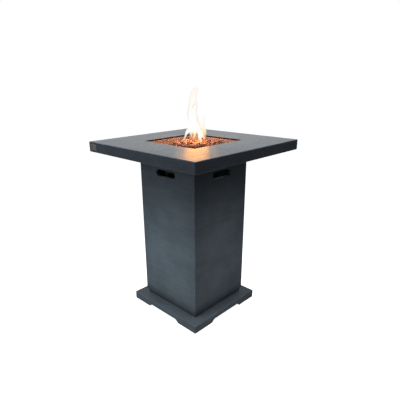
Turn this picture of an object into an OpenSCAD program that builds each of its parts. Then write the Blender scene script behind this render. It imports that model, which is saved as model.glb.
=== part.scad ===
// Bar-height fire table: a square glass-fibre-concrete top on a hollow square column and a
// stepped plinth. The top holds a drop-in gas burner under lava rock. The column hides the gas
// valve, the igniter and the bay for the gas cylinder.
// Millimetres. Z is up, the origin is on the floor under the middle of the table.
// The access door is on +Y and the control panel on -X.

/* [Tabletop] */
// Height of the finished tabletop above the floor
table_h = 1000; // [960:1:1100]
// Width of the square tabletop
top_w = 815; // [700:1:950]
// Thickness of the tabletop at its edge
top_t = 55; // [48:1:70]
// Thickness of the tabletop's skin over its hollow underside
top_skin = 18; // [14:1:24]
// Thickness of the skirt around the edge
skirt_t = 25; // [18:1:40]
// Width of the seat under the top, inside the column
seat_in = 28; // [24:1:32]
// Depth of the pan ledge below the top surface
ledge_d = 13; // [9:1:18]
// Width of the pan ledge
ledge_w = 20; // [13:0.5:22]
// How far the seat under the top reaches past the column
collar_over = 3; // [1:1:20]
// Eased arris along the concrete edges
edge_ease = 2.5; // [1:0.5:5]
// Radius of the upright concrete corners
corner_r = 4; // [3:0.5:12]

/* [Column] */
// Width of the square column
col_w = 424; // [410:1:470]
// Wall thickness of the column
col_wall = 14; // [12:0.5:18]
// Length of a hand slot
slot_l = 148; // [100:1:180]
// Height of a hand slot
slot_h = 39; // [20:1:42]
// Middle of the hand slots below the tabletop's underside
slot_drop = 98; // [86:1:102]

/* [Plinth] */
// Width of the square plinth
plinth_w = 530; // [490:1:640]
// Height of the plinth's plate above the floor
plinth_t = 48; // [42:1:70]
// Height of the step between the plinth and the column
step_h = 24; // [12:1:40]
// How far the step stands back from the column's faces
step_inset = 9; // [2:0.5:11]
// Height of the arches between the feet
arch_h = 20; // [10:1:24]
// Width of an arch at the floor
arch_floor_w = 256; // [200:1:300]
// Width of an arch at its top
arch_top_w = 212; // [140:1:230]
// Radius of the arches' upper corners
arch_r = 12; // [6:1:20]
// Width of the step's ledge inside the column, around the cylinder bay
ledge_in_w = 18; // [16:1:24]
// Height of the lip that locates the column
lip_h = 12; // [8:1:20]
// Play between the lip and the column's inside
lip_clear = 0.5; // [0.2:0.1:1]
// Diameter of the vent through the plinth
vent_d = 80; // [40:1:120]
// Diameter of a foot pad
pad_d = 30; // [20:1:50]
// Thickness of a foot pad
pad_t = 8; // [6:1:12]
// How far the foot pads stand out of the feet
pad_stand = 2; // [1:0.5:4]
// Middle of a foot pad from the plinth's edges
pad_inset = 60; // [45:1:70]

/* [Burner] */
// Play around the pan's flange
flange_clear = 3; // [1:0.5:4]
// Play between the pan's well and the ledge
well_clear = 4; // [2:0.5:6]
// Sheet thickness of the pan
pan_t = 1.5; // [1:0.1:2]
// Depth of the pan below its flange
pan_depth = 52.5; // [46:0.5:60]
// Mean radius of the burner ring
ring_r = 80; // [78:1:84]
// Outer radius of the burner tube
tube_r = 9.5; // [8:0.5:11]
// Wall of the burner tube
tube_wall = 1; // [0.8:0.1:1.5]
// Gap from the pan's floor to the burner tube
ring_stand = 5; // [3:0.5:8]
// Number of gas ports around the ring
port_n = 20; // [12:1:32]
// Radius of a gas port
port_r = 1.25; // [0.8:0.05:1.6]
// Outer radius of the burner's threaded nipple
nipple_r = 10.5; // [9:0.5:12]
// Length of the nipple below the pan
nipple_l = 28; // [24:1:34]
// Thickness of the locknut
locknut_t = 8; // [6:1:10]
// Outer radius of the air mixer
mixer_r = 14.5; // [13.5:0.5:17]
// Length of the air mixer's body
mixer_l = 48; // [40:1:56]
// Depth of the nipple in the air mixer
mixer_socket = 14; // [10:1:16]
// Pitch of the lava rocks
rock_pitch = 32.4; // [28:0.1:33]
// Height of a rock against its width
rock_tall = 1.15; // [0.8:0.05:1.2]
// Middle of the heat shield below the pan's floor
shield_drop = 52; // [46:1:60]
// Sheet thickness of the heat shield
shield_t = 1.5; // [1:0.1:3]
// Height of the heat shield's upturned sides
shield_lip = 22; // [16:1:30]
// Play between the heat shield and the column
shield_clear = 0.3; // [0.2:0.1:0.6]

/* [Access door] */
// Width of the jamb on each side of the door opening, inside the column
jamb_w = 30; // [27:1:36]
// Height of the door opening
door_h = 540; // [500:1:560]
// Sill of the door opening above the column's foot
door_sill = 28; // [20:1:50]
// Gap around the closed door
door_gap = 3; // [2:0.5:5]
// Depth of the folded door
door_t = 12; // [10:0.5:14]
// Sheet thickness of the door
door_skin = 2; // [1.2:0.1:3]
// Length of a hinge
hinge_l = 60; // [45:1:90]
// Radius of the hinge barrels
barrel_r = 4.5; // [4:0.25:6]
// Radius of the hinge pins
pin_r = 2; // [1.5:0.1:2.5]
// Running clearance around the hinge pins
pin_clear = 0.05; // [0.02:0.01:0.1]
// Width of a hinge leaf from its pin
leaf_w = 25; // [22:1:30]
// Thickness of a hinge leaf
leaf_t = 2; // [1.5:0.1:2.5]
// Middle of a hinge from the door's end
hinge_inset = 80; // [60:1:120]
// Radius of the door pull
pull_r = 12; // [9:0.5:18]
// Length of the door pull
pull_l = 22; // [16:1:32]
// Door pull from the door's free edge
pull_inset = 28; // [24:1:60]

/* [Control panel] */
// Width of the control panel
panel_w = 100; // [90:1:130]
// Height of the control panel
panel_h = 170; // [164:1:176]
// Thickness of the control panel
panel_t = 1.5; // [1:0.1:2]
// How far the panel laps the column
panel_lap = 10; // [9:0.5:14]
// Middle of the panel below the tabletop's underside
panel_drop = 216; // [212:1:240]
// Gas knob above the panel's middle
knob_rise = 35; // [34:1:44]
// Igniter button below the panel's middle
button_fall = 40; // [36:1:46]
// Radius of the gas knob
knob_r = 22; // [18:0.5:28]
// Length of the gas knob
knob_l = 22; // [18:1:30]
// Gap behind the gas knob
knob_gap = 6; // [5.5:0.25:8]
// Push travel of the gas knob
knob_press = 4; // [3:0.5:4]
// Radius of the valve stem
stem_r = 4; // [3.5:0.25:4.5]
// Running clearance of the stem, the plug and the button
run_clear = 0.05; // [0.02:0.01:0.1]
// Radius of the igniter's barrel
igniter_r = 12; // [11.5:0.25:13]
// Length of the igniter's barrel behind the panel
igniter_l = 74; // [74:1:90]
// Radius of the igniter button
button_r = 8.5; // [7:0.5:9]
// How far the igniter button stands out
button_proud = 5; // [4:0.5:7]
// Push travel of the igniter button
button_press = 3.5; // [2:0.5:3.5]

/* [Gas line] */
// Outer radius of the gas tube
gas_r = 5; // [4:0.25:6]
// Wall of the gas tube
gas_wall = 1; // [0.8:0.1:1.5]
// Bend radius of the gas tube
gas_bend = 22; // [18:1:24]
// Radius of the threaded stubs that the tube nuts fit
stub_r = 6.5; // [6.4:0.1:8]
// Radius of the gas inlet's thread
inlet_r = 7.9; // [6:0.1:9]
// Length of the gas inlet's thread
inlet_l = 16; // [12:1:22]

/* [Cylinder seat] */
// Inner radius of the ring that takes the cylinder's foot
seat_r = 106; // [98:1:112]
// Wall of the seat ring
seat_wall = 3; // [2:0.5:5]
// Height of the seat ring
seat_h = 30; // [20:1:45]

/* [Fixings] */
// Thickness of the angle brackets
angle_t = 3; // [2.5:0.5:5]
// Width of an angle bracket
angle_w = 50; // [36:1:70]
// Height of an angle bracket's upright leg
angle_leg = 40; // [34:1:60]
// Angle brackets from the column's middle plane
angle_pos = 120; // [110:1:130]
// Radius of the bracket bolts
bolt_r = 3; // [2.5:0.25:3.5]
// Play around a fixing in its hole
hole_clear = 0.1; // [0.05:0.05:0.3]
// Radius of the small screws
screw_r = 1.75; // [1.5:0.05:2]

/* [Hidden] */
$fn = 64;
EPS = 1;
// levels
z_under = table_h - top_t;
z_ledge = table_h - ledge_d;
z_step = plinth_t + step_h;
z_lip = z_step + lip_h;
z_slot = z_under - slot_drop;
// plan sizes
col_in = col_w - 2*col_wall;
collar_w = col_w + 2*collar_over;
ledge_in = col_in - 2*seat_in;
opening_w = ledge_in + 2*ledge_w;
bay_w = col_in - 2*ledge_in_w;
flange_w = opening_w - 2*flange_clear;
well_w = ledge_in - 2*well_clear;
step_w = col_w - 2*step_inset;
lip_w = col_in - 2*lip_clear;
pad_at = plinth_w/2 - pad_inset;
pad_play = 0.2;
// burner
z_pan_under = z_ledge + pan_t - pan_depth;
z_pan_floor = z_pan_under + pan_t;
z_ring = z_pan_floor + ring_stand + tube_r;
z_ring_top = z_ring + tube_r;
z_nipple = z_pan_under - nipple_l;
z_mixer = z_nipple + mixer_socket - mixer_l;
mixer_stub = 12;
z_stub = z_mixer - mixer_stub;
z_shield = z_pan_under - shield_drop;
hub_r = nipple_r + 4;
pilot_off = 24;
pilot_x = -(ring_r + tube_r + pilot_off);
pilot_y = 9;
pilot_shelf = 14;
insulator_r = 3.5;
electrode_r = 1.25;
couple_r = 2.5;
pilot_below = 20;
rod_tail = 8;
rod_l = pilot_below + 42 + rod_tail;
lead_r = 1.5;
lead_gap = 0.3;
lead_out = 12;
lead_bow = 24;
lead_rise = 8;
rock_r = rock_pitch/2 - 0.3;
rock_lift = 0.2;
rock_rows = floor(((well_w - 2*pan_t)/rock_pitch)/2);
// small fixings
screw_head_r = 2*screw_r;
screw_head_h = 1.2;
screw_l = 10;
bolt_head_r = 1.7*bolt_r;
bolt_head_h = 1.2*bolt_r;
bolt_bite = 9;
// door
door_w = col_in - 2*jamb_w;
door_z0 = z_step + door_sill;
door_z1 = door_z0 + door_h;
leaf_lift = 0.3;
hinge_y = col_w/2 + barrel_r + leaf_lift;
hinge_x = -door_w/2 + door_gap/2;
knuckle_gap = 0.4;
knuckle_l = (hinge_l - 2*knuckle_gap)/3;
hinge_zs = [door_z0 + hinge_inset, door_z1 - hinge_inset];
pull_x = door_w/2 - door_gap - pull_inset;
pull_z = (door_z0 + door_z1)/2;
catch_rise = 70;
catch_z = pull_z + catch_rise;
catch_h = 46;
catch_foot = 0.6*jamb_w;
catch_reach = 16;
catch_gap = 0.3;
catch_deep = 12;
strike_w = 14;
// control panel, measured inwards from the column's outer face
panel_z = z_under - panel_drop;
knob_z = panel_z + knob_rise;
button_z = panel_z - button_fall;
bonnet_r = 20;
bonnet_t = 4;
bonnet_screw = 14.5;
boss_r = 12;
spring_room = 16;
neck_l = 10;
plug_r = 9;
plug_l = 25.4;
plug_play = 0.3;
cap_spigot = 10;
cap_r = 14;
cap_t = 4;
block_w = 40;
block_h = 44;
x_boss = bonnet_t;
x_neck = x_boss + spring_room;
x_plug = x_neck + neck_l;
x_block0 = x_neck + 2;
x_block1 = x_plug + plug_l + 2*plug_play + cap_spigot;
x_port = x_plug + plug_play + plug_l/2;
stem_key = 5;
key_play = 0.1;
key_l = 16;
collar_t = 2;
collar_r = 6.5;
x_collar = x_boss + plug_play;
x_key = x_plug - knob_press - 1;
knob_cap = 6;
x_knob0 = -(panel_t + knob_gap + knob_l);
x_knob1 = -(panel_t + knob_gap);
bezel_t = 4;
bezel_r = igniter_r + 4;
nut_t = 6;
button_rim = 1.1;
x_button0 = -(panel_t + bezel_t + button_proud);
x_rim = 1;
rim_t = 3;
x_rim_room = rim_t + button_press + 1.5;
battery_r = 7.25;
battery_l = 50.5;
battery_wall = 6;
x_battery1 = igniter_l - battery_wall - 0.3;
x_battery0 = x_battery1 - battery_l;
blade_l = 8;
blade_at = 4;
// gas line
outlet_l = 14;
x_gas = -col_w/2 + x_port;
z_outlet = knob_z + block_h/2 + outlet_l;
tube_nut_af = 19;
tube_nut_l = 16;
nut_grip = 9;
tube_straight = tube_nut_l - nut_grip + 1;
z_gas = z_outlet + tube_straight + gas_bend;
inlet_hex = 10;
couple_stub = 9;
couple_stub_r = 5;
couple_gap = 0.5;

// Icosahedron lying on one face: three layers of corners up, three down
ROCK_FACES = [
    [0, 2, 1],
    [0, 1, 3], [1, 2, 4], [2, 0, 5],
    [0, 3, 6], [0, 6, 5], [1, 4, 7], [1, 7, 3], [2, 5, 8], [2, 8, 4],
    [3, 9, 6], [3, 7, 9], [4, 10, 7], [4, 8, 10], [5, 11, 8], [5, 6, 11],
    [7, 10, 9], [8, 11, 10], [6, 9, 11],
    [9, 10, 11]
];
function rock_layer(r, z, a, f) =
    [for (i = [0:2]) [r*f[i]*cos(a + 120*i), r*f[i]*sin(a + 120*i), z*f[i]]];
function rock_corners(s, spin, f) = concat(
    rock_layer(0.607*s, 0.795*s*rock_tall, spin, [f[0], f[1], f[2]]),
    rock_layer(0.982*s, 0.188*s*rock_tall, spin + 60, [f[3], f[4], f[5]]),
    rock_layer(0.982*s, -0.188*s*rock_tall, spin, [f[6], f[7], f[8]]),
    rock_layer(0.607*s, -0.795*s*rock_tall, spin + 60, [1, 1, 1])
);

// Smooth route through chosen points, and a round tube along it
function blend_at(a, b, c, d, t) = 0.5*(2*b + (c - a)*t + (2*a - 5*b + 4*c - d)*t*t
    + (3*b - a - 3*c + d)*t*t*t);
function route(p, n) = concat(
    [for (i = [0:len(p) - 2], k = [0:n - 1])
        blend_at(p[max(i - 1, 0)], p[i], p[i + 1], p[min(i + 2, len(p) - 1)], k/n)],
    [p[len(p) - 1]]);
function along(p, i) = let (a = p[max(i - 1, 0)], b = p[min(i + 1, len(p) - 1)]) (b - a)/norm(b - a);
function ring_at(c, t, r, sides) =
    let (u = cross(t, [0.2, 1, 0.35]), a = u/norm(u), b = cross(t, a))
    [for (k = [0:sides - 1]) c + r*(a*cos(360*k/sides) + b*sin(360*k/sides))];
module swept(p, r, sides = 8) {
    n = len(p);
    pts = [for (i = [0:n - 1]) each ring_at(p[i], along(p, i), r, sides)];
    walls = [for (i = [0:n - 2], k = [0:sides - 1]) let (m = (k + 1) % sides)
        each [[i*sides + k, i*sides + m, (i + 1)*sides + m],
              [i*sides + k, (i + 1)*sides + m, (i + 1)*sides + k]]];
    cap0 = [for (k = [1:sides - 2]) [0, k + 1, k]];
    cap1 = [for (k = [1:sides - 2]) [(n - 1)*sides, (n - 1)*sides + k, (n - 1)*sides + k + 1]];
    polyhedron(points = pts, faces = concat(walls, cap0, cap1));
}

CONCRETE = [0.36, 0.38, 0.4];
STEEL = [0.62, 0.61, 0.6];
ZINC = [0.55, 0.56, 0.58];
BRASS = [0.72, 0.58, 0.32];
DARK = [0.08, 0.08, 0.09];
ROCK = [0.36, 0.17, 0.12];
COPPER = [0.72, 0.42, 0.28];

// Square with round corners
module round_square(w, r) {
    square([w - 2*r, w], center = true);
    square([w, w - 2*r], center = true);
    for (x = [-1, 1], y = [-1, 1]) {
        translate([x*(w/2 - r), y*(w/2 - r)]) circle(r);
    }
}

// Section of a slab with its lower and upper arrises eased
module eased_section(w, h, low, high) {
    polygon([
        [-w/2, low], [-w/2 + low, 0], [w/2 - low, 0], [w/2, low],
        [w/2, h - high], [w/2 - high, h], [-w/2 + high, h], [-w/2, h - high]
    ]);
}

// Square slab with round corners and eased arrises
module eased_slab(w, h, r, low, high) {
    intersection() {
        linear_extrude(h) round_square(w, r);
        rotate([90, 0, 0]) linear_extrude(w + 2*EPS, center = true) eased_section(w, h, low, high);
        rotate([90, 0, 90]) linear_extrude(w + 2*EPS, center = true) eased_section(w, h, low, high);
    }
}

// Slot with round ends, along X
module round_slot(l, h) {
    square([l - h, h], center = true);
    for (s = [-1, 1]) {
        translate([s*(l - h)/2, 0]) circle(h/2);
    }
}

// Repeats its children on each of the four sides
module four_sides() {
    for (a = [0, 90, 180, 270]) {
        rotate([0, 0, a]) children();
    }
}

// Bolt or screw pointing down, its head resting at z = 0
module fixing(r, l, head_r, head_h) {
    difference() {
        union() {
            translate([0, 0, -l]) cylinder(r = r, h = l + head_h/2);
            cylinder(r = head_r, h = head_h);
        }
        translate([0, 0, head_h/2]) cylinder(r = 0.55*head_r, h = head_h, $fn = 6);
    }
}

// Hole for a fixing, pointing down from z = 0
module fixing_hole(r, l) {
    translate([0, 0, -l - EPS/2]) cylinder(r = r + hole_clear, h = l + EPS);
}

// Places for the four angle brackets, each with the wall at x = 0 and the room at -X
module bracket_places(z) {
    for (sx = [0, 1], sy = [-1, 1]) {
        mirror([sx, 0, 0]) translate([col_in/2, sy*angle_pos, z]) children();
    }
}

// Angle bracket standing on z = 0 against the wall at x = 0
module angle_bracket(leg) {
    difference() {
        union() {
            translate([-angle_t, -angle_w/2, 0]) cube([angle_t, angle_w, angle_leg]);
            translate([-leg, -angle_w/2, 0]) cube([leg, angle_w, angle_t]);
        }
        bracket_bolt_places(leg) fixing_hole(bolt_r, angle_t);
    }
}

// The two bolts of an angle bracket, pointing into the wall and into the seat
module bracket_bolt_places(leg) {
    translate([-angle_t, 0, angle_leg - 12]) rotate([0, -90, 0]) children();
    translate([-leg + bolt_head_r + 0.5, 0, angle_t]) children();
}

base_leg = (col_in - bay_w)/2 - 1;
top_leg = (col_in - ledge_in)/2 - 1;

// Places for the tabletop's brackets, which hang from its underside
module top_bracket_places() {
    translate([0, 0, z_under]) mirror([0, 0, 1]) bracket_places(0) children();
}

module bracket_holes(leg) {
    bracket_bolt_places(leg) fixing_hole(bolt_r, angle_t + bolt_bite);
}

module pan_screw_places() {
    at = (ledge_in + flange_w)/4 + 0.6;
    for (x = [-1, 1], y = [-1, 1]) {
        translate([x*at, y*at, z_ledge + pan_t]) children();
    }
}

module tabletop() {
    color(CONCRETE) difference() {
        translate([0, 0, z_under]) eased_slab(top_w, top_t, corner_r, edge_ease, edge_ease);
        translate([0, 0, z_under - EPS]) linear_extrude(top_t - top_skin + EPS) difference() {
            square(top_w - 2*skirt_t, center = true);
            square(collar_w, center = true);
        }
        translate([0, 0, z_ledge]) linear_extrude(ledge_d + EPS) square(opening_w, center = true);
        translate([0, 0, z_under - EPS]) linear_extrude(top_t) square(ledge_in, center = true);
        top_bracket_places() bracket_holes(top_leg);
        pan_screw_places() fixing_hole(screw_r, pan_t + screw_l);
    }
}

module panel_frame() {
    translate([-col_w/2, 0, panel_z]) children();
}

module panel_screw_places() {
    for (y = [-1, 1], z = [-1, 1]) {
        panel_frame() translate([-panel_t, y*(panel_w - panel_lap)/2, z*(panel_h - panel_lap)/2])
            rotate([0, -90, 0]) children();
    }
}

module shield_screw_places() {
    for (a = [0, 180], x = [-1, 1]) {
        rotate([0, 0, a])
            translate([x*col_in/4, -col_in/2 + shield_clear + shield_t, z_shield + 0.6*shield_lip])
            rotate([-90, 0, 0]) children();
    }
}

module hinge_screw_places(side) {
    for (z = hinge_zs, dz = [-1, 1]) {
        translate([hinge_x + side*(leaf_w + barrel_r)/2, col_w/2 + leaf_t, z + dz*hinge_l/4])
            rotate([-90, 0, 0]) children();
    }
}

module catch_screw_places() {
    for (dz = [-1, 1]) {
        translate([door_w/2 + catch_foot/2, col_in/2 - catch_deep/2, catch_z + dz*catch_h/3])
            rotate([90, 0, 0]) children();
    }
}

module column() {
    color(CONCRETE) difference() {
        translate([0, 0, z_step]) linear_extrude(z_under - z_step) difference() {
            round_square(col_w, corner_r);
            square(col_in, center = true);
        }
        four_sides() translate([0, -col_in/2 + EPS, z_slot]) rotate([90, 0, 0])
            linear_extrude(col_wall + 2*EPS) round_slot(slot_l, slot_h);
        translate([-door_w/2, col_in/2 - EPS, door_z0]) cube([door_w, col_wall + 2*EPS, door_h]);
        panel_frame() translate([-EPS, -panel_w/2 + panel_lap, -panel_h/2 + panel_lap])
            cube([col_wall + 2*EPS, panel_w - 2*panel_lap, panel_h - 2*panel_lap]);
        bracket_places(z_lip) bracket_holes(base_leg);
        top_bracket_places() bracket_holes(top_leg);
        panel_screw_places() fixing_hole(screw_r, panel_t + screw_l);
        shield_screw_places() fixing_hole(screw_r, shield_t + shield_clear + screw_l);
        hinge_screw_places(-1) fixing_hole(screw_r, leaf_t + screw_l);
        catch_screw_places() fixing_hole(screw_r, catch_deep/2 + screw_l);
    }
}

// Outline of an arch between two feet, with round upper corners
module arch_outline() {
    lean = atan2(arch_h - pad_stand, (arch_floor_w - arch_top_w)/2);
    // tangent circle in each upper corner
    back = arch_r*tan(lean/2);
    steps = 6;
    right = [for (k = [0:steps]) let (a = 90 - lean + lean*k/steps)
        [arch_top_w/2 - back + arch_r*cos(a), arch_h - arch_r + arch_r*sin(a)]];
    left = [for (k = [0:steps]) [-right[steps - k][0], right[steps - k][1]]];
    polygon(concat([[arch_floor_w/2 + EPS, pad_stand - EPS], [arch_floor_w/2, pad_stand]],
        right, left, [[-arch_floor_w/2, pad_stand], [-arch_floor_w/2 - EPS, pad_stand - EPS]]));
}

module ring_bolt_places() {
    for (a = [45, 135, 225, 315]) {
        rotate([0, 0, a]) translate([seat_r + seat_wall + 14, 0, plinth_t + seat_wall]) children();
    }
}

module plinth() {
    color(CONCRETE) difference() {
        union() {
            translate([0, 0, pad_stand])
                eased_slab(plinth_w, plinth_t - pad_stand, corner_r, edge_ease/2, edge_ease);
            translate([0, 0, plinth_t - EPS]) linear_extrude(step_h + EPS) round_square(step_w, corner_r);
            translate([0, 0, plinth_t - EPS]) linear_extrude(step_h + lip_h + EPS)
                square(lip_w, center = true);
        }
        translate([0, 0, plinth_t]) linear_extrude(step_h + lip_h + EPS) square(bay_w, center = true);
        for (a = [0, 90]) {
            rotate([90, 0, a]) linear_extrude(plinth_w + 2*EPS, center = true) arch_outline();
        }
        cylinder(d = vent_d, h = plinth_t + EPS);
        for (x = [-1, 1], y = [-1, 1]) {
            translate([x*pad_at, y*pad_at, 0]) cylinder(d = pad_d + 2*pad_play, h = pad_t);
        }
        bracket_places(z_lip) bracket_holes(base_leg);
        ring_bolt_places() fixing_hole(bolt_r, seat_wall + 2*bolt_bite);
    }
}

module foot_pads() {
    color(DARK) for (x = [-1, 1], y = [-1, 1]) {
        translate([x*pad_at, y*pad_at, 0]) cylinder(d = pad_d, h = pad_t);
    }
}

module base_brackets() {
    color(ZINC) bracket_places(z_lip) angle_bracket(base_leg);
}

module base_bolts() {
    color(ZINC) bracket_places(z_lip) bracket_bolt_places(base_leg)
        fixing(bolt_r, angle_t + bolt_bite, bolt_head_r, bolt_head_h);
}

module top_brackets() {
    color(ZINC) top_bracket_places() angle_bracket(top_leg);
}

module top_bolts() {
    color(ZINC) top_bracket_places() bracket_bolt_places(top_leg)
        fixing(bolt_r, angle_t + bolt_bite, bolt_head_r, bolt_head_h);
}

// Places of the electrode and the thermocouple beside the burner
module electrode_place() {
    translate([pilot_x, pilot_y, 0]) children();
}

module couple_place() {
    translate([pilot_x, -pilot_y, 0]) children();
}

module burner_pan() {
    color(STEEL) difference() {
        union() {
            translate([0, 0, z_ledge]) linear_extrude(pan_t) square(flange_w, center = true);
            translate([0, 0, z_pan_under]) linear_extrude(pan_depth - EPS/2) square(well_w, center = true);
        }
        translate([0, 0, z_pan_floor]) linear_extrude(pan_depth + EPS)
            square(well_w - 2*pan_t, center = true);
        translate([0, 0, z_pan_under - EPS]) cylinder(r = nipple_r + hole_clear, h = pan_t + 2*EPS);
        pan_screw_places() fixing_hole(screw_r, pan_t + EPS);
        electrode_place() translate([0, 0, z_pan_under - EPS])
            cylinder(r = insulator_r + hole_clear, h = pan_t + 2*EPS);
        couple_place() translate([0, 0, z_pan_under - EPS])
            cylinder(r = couple_r + hole_clear, h = pan_t + 2*EPS);
    }
}

module pan_screws() {
    color(ZINC) pan_screw_places()
        fixing(screw_r, pan_t + screw_l - EPS, screw_head_r, screw_head_h);
}

// Burner: a ring of tube, a feed bar across it, a hub on the pan's floor and a nipple through it
module burner_ring() {
    color(STEEL) difference() {
        union() {
            translate([0, 0, z_ring]) rotate_extrude() translate([ring_r, 0]) circle(tube_r);
            translate([-ring_r, 0, z_ring]) rotate([0, 90, 0]) cylinder(r = tube_r, h = 2*ring_r);
            translate([0, 0, z_pan_floor]) cylinder(r = hub_r, h = ring_stand + tube_r);
            translate([0, 0, z_nipple]) cylinder(r = nipple_r, h = z_ring - z_nipple);
        }
        translate([0, 0, z_ring]) rotate_extrude() translate([ring_r, 0]) circle(tube_r - tube_wall);
        translate([-ring_r, 0, z_ring]) rotate([0, 90, 0])
            cylinder(r = tube_r - tube_wall - 0.5, h = 2*ring_r);
        translate([0, 0, z_nipple - EPS]) cylinder(r = nipple_r - 3, h = z_ring - z_nipple + EPS);
        for (i = [0:port_n - 1]) {
            rotate([0, 0, 360*(i + 0.5)/port_n]) translate([ring_r, 0, z_ring])
                cylinder(r = port_r, h = tube_r + EPS);
        }
    }
}

module burner_locknut() {
    color(BRASS) translate([0, 0, z_pan_under - locknut_t]) difference() {
        cylinder(r = 1.5*nipple_r, h = locknut_t, $fn = 6);
        translate([0, 0, -EPS]) cylinder(r = nipple_r + hole_clear, h = locknut_t + 2*EPS);
    }
}

// Air mixer: a socket for the nipple, a throat with two air holes, and a stub for the tube nut
module air_mixer() {
    color(BRASS) difference() {
        union() {
            translate([0, 0, z_mixer]) cylinder(r = mixer_r, h = mixer_l);
            translate([0, 0, z_stub]) cylinder(r = stub_r, h = mixer_stub + EPS);
        }
        translate([0, 0, z_nipple]) cylinder(r = nipple_r + hole_clear, h = mixer_socket + EPS);
        translate([0, 0, z_mixer + 8]) cylinder(r = nipple_r - 3, h = mixer_l);
        translate([0, 0, z_stub - EPS]) cylinder(r = 1, h = mixer_stub + 8 + 2*EPS);
        translate([0, 0, z_mixer + mixer_l/3 + 2]) rotate([90, 0, 0])
            cylinder(r = 4, h = 2*mixer_r + 2*EPS, center = true);
    }
}

// One rock standing on z = 0
module rock(n, s) {
    f = rands(0.8, 1, 9, n);
    spin = rands(0, 120, 1, n + 500)[0];
    translate([0, 0, 0.795*s*rock_tall + rock_lift])
        polyhedron(points = rock_corners(s, spin, f), faces = ROCK_FACES);
}

// Rocks on the feed bar, inside the ring, on the ring and out to the walls of the pan
module lava_rocks() {
    step = rock_pitch + 2;
    ring_n = floor(360/(2*asin(rock_pitch/(2*ring_r))));
    color(ROCK) {
        for (i = [-1:1], j = [-1:1]) {
            translate([i*step, j*(step + 2), j == 0 ? z_ring_top : z_pan_floor])
                rock(10 + 3*i + j, rock_r);
        }
        for (i = [0:ring_n - 1]) {
            rotate([0, 0, 360*i/ring_n]) translate([ring_r, 0, z_ring_top]) rock(40 + i, rock_r);
        }
        for (i = [-rock_rows:rock_rows - 1], j = [-rock_rows:rock_rows - 1]) {
            x = (i + 0.5)*rock_pitch;
            y = (j + 0.5)*rock_pitch;
            beside_pilot = x < 0 && abs(y) < rock_pitch && x > pilot_x - 2*rock_pitch;
            if (norm([x, y]) > ring_r + 2*rock_r + 0.6 && !beside_pilot) {
                translate([x, y, z_pan_floor]) rock(100 + 20*i + j, rock_r);
            }
        }
    }
}

// Bent strip that holds the electrode and the thermocouple beside the ring
module pilot_bracket() {
    w = 2*pilot_y + 18;
    color(ZINC) difference() {
        union() {
            translate([pilot_x - 22, -w/2, z_pan_floor]) cube([14, w, 1.2]);
            translate([pilot_x - 9.2, -w/2, z_pan_floor]) cube([1.2, w, pilot_shelf + 1.2]);
            translate([pilot_x - 9.2, -w/2, z_pan_floor + pilot_shelf]) cube([16, w, 1.2]);
        }
        electrode_place() cylinder(r = insulator_r + hole_clear, h = table_h);
        couple_place() cylinder(r = couple_r + hole_clear, h = table_h);
    }
}

module electrode_insulator() {
    color([0.9, 0.88, 0.82]) electrode_place() difference() {
        union() {
            translate([0, 0, z_pan_under - pilot_below]) cylinder(r = insulator_r, h = pilot_below + 32);
            translate([0, 0, z_pan_floor + pilot_shelf + 1.2]) cylinder(r = insulator_r + 1.5, h = 4);
        }
        translate([0, 0, z_pan_under - pilot_below - EPS])
            cylinder(r = electrode_r + hole_clear, h = pilot_below + 32 + 2*EPS);
    }
}

module electrode_rod() {
    color(ZINC) electrode_place() translate([0, 0, z_pan_under - pilot_below - rod_tail])
        cylinder(r = electrode_r, h = rod_l);
}

module thermocouple() {
    color(COPPER) couple_place() {
        translate([0, 0, z_pan_under - pilot_below]) cylinder(r = couple_r, h = pilot_below + 38);
        translate([0, 0, z_pan_floor + pilot_shelf + 1.2]) cylinder(r = couple_r + 1.5, h = 3);
    }
}

// Heat shield: a plate across the column with two sides turned up against the walls
module heat_shield() {
    w = col_in - 2*shield_clear;
    color(STEEL) difference() {
        translate([0, 0, z_shield]) union() {
            linear_extrude(shield_t) square(w, center = true);
            for (s = [0, 180]) {
                rotate([0, 0, s]) translate([-w/2, -w/2, 0]) cube([w, shield_t, shield_lip]);
            }
        }
        cylinder(r = mixer_r + 4, h = table_h);
        translate([pilot_x, 0, 0]) cylinder(r = pilot_y + 9, h = table_h);
        shield_screw_places() fixing_hole(screw_r, shield_t + EPS);
    }
}

module shield_screws() {
    color(ZINC) shield_screw_places()
        fixing(screw_r, shield_t + shield_clear + screw_l - EPS, screw_head_r, screw_head_h);
}

// Run of the gas tube from the valve, across the column and up to the air mixer
module gas_run(r, over) {
    translate([x_gas, 0, z_outlet - over]) cylinder(r = r, h = z_gas - gas_bend - z_outlet + over);
    translate([x_gas + gas_bend, 0, z_gas - gas_bend]) rotate([90, 0, 0])
        rotate([0, 0, 90]) rotate_extrude(angle = 90) translate([gas_bend, 0]) circle(r);
    translate([x_gas + gas_bend, 0, z_gas]) rotate([0, 90, 0]) cylinder(r = r, h = -x_gas - 2*gas_bend);
    translate([-gas_bend, 0, z_gas + gas_bend]) rotate([90, 0, 0])
        rotate([0, 0, -90]) rotate_extrude(angle = 90) translate([gas_bend, 0]) circle(r);
    translate([0, 0, z_gas + gas_bend]) cylinder(r = r, h = z_stub - z_gas - gas_bend + over);
}

module gas_tube() {
    color(STEEL) difference() {
        gas_run(gas_r, 0);
        gas_run(gas_r - gas_wall, EPS);
    }
}

// Nut that draws the tube's end against a stub; the stub fills the end at z = 0
module tube_nut() {
    difference() {
        cylinder(d = tube_nut_af/cos(30), h = tube_nut_l, $fn = 6);
        translate([0, 0, -EPS]) cylinder(r = stub_r + hole_clear, h = nut_grip + EPS);
        cylinder(r = gas_r + hole_clear, h = tube_nut_l + EPS);
    }
}

module tube_nuts() {
    color(BRASS) {
        translate([x_gas, 0, z_outlet - nut_grip]) tube_nut();
        translate([0, 0, z_stub + nut_grip]) mirror([0, 0, 1]) tube_nut();
    }
}

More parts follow.
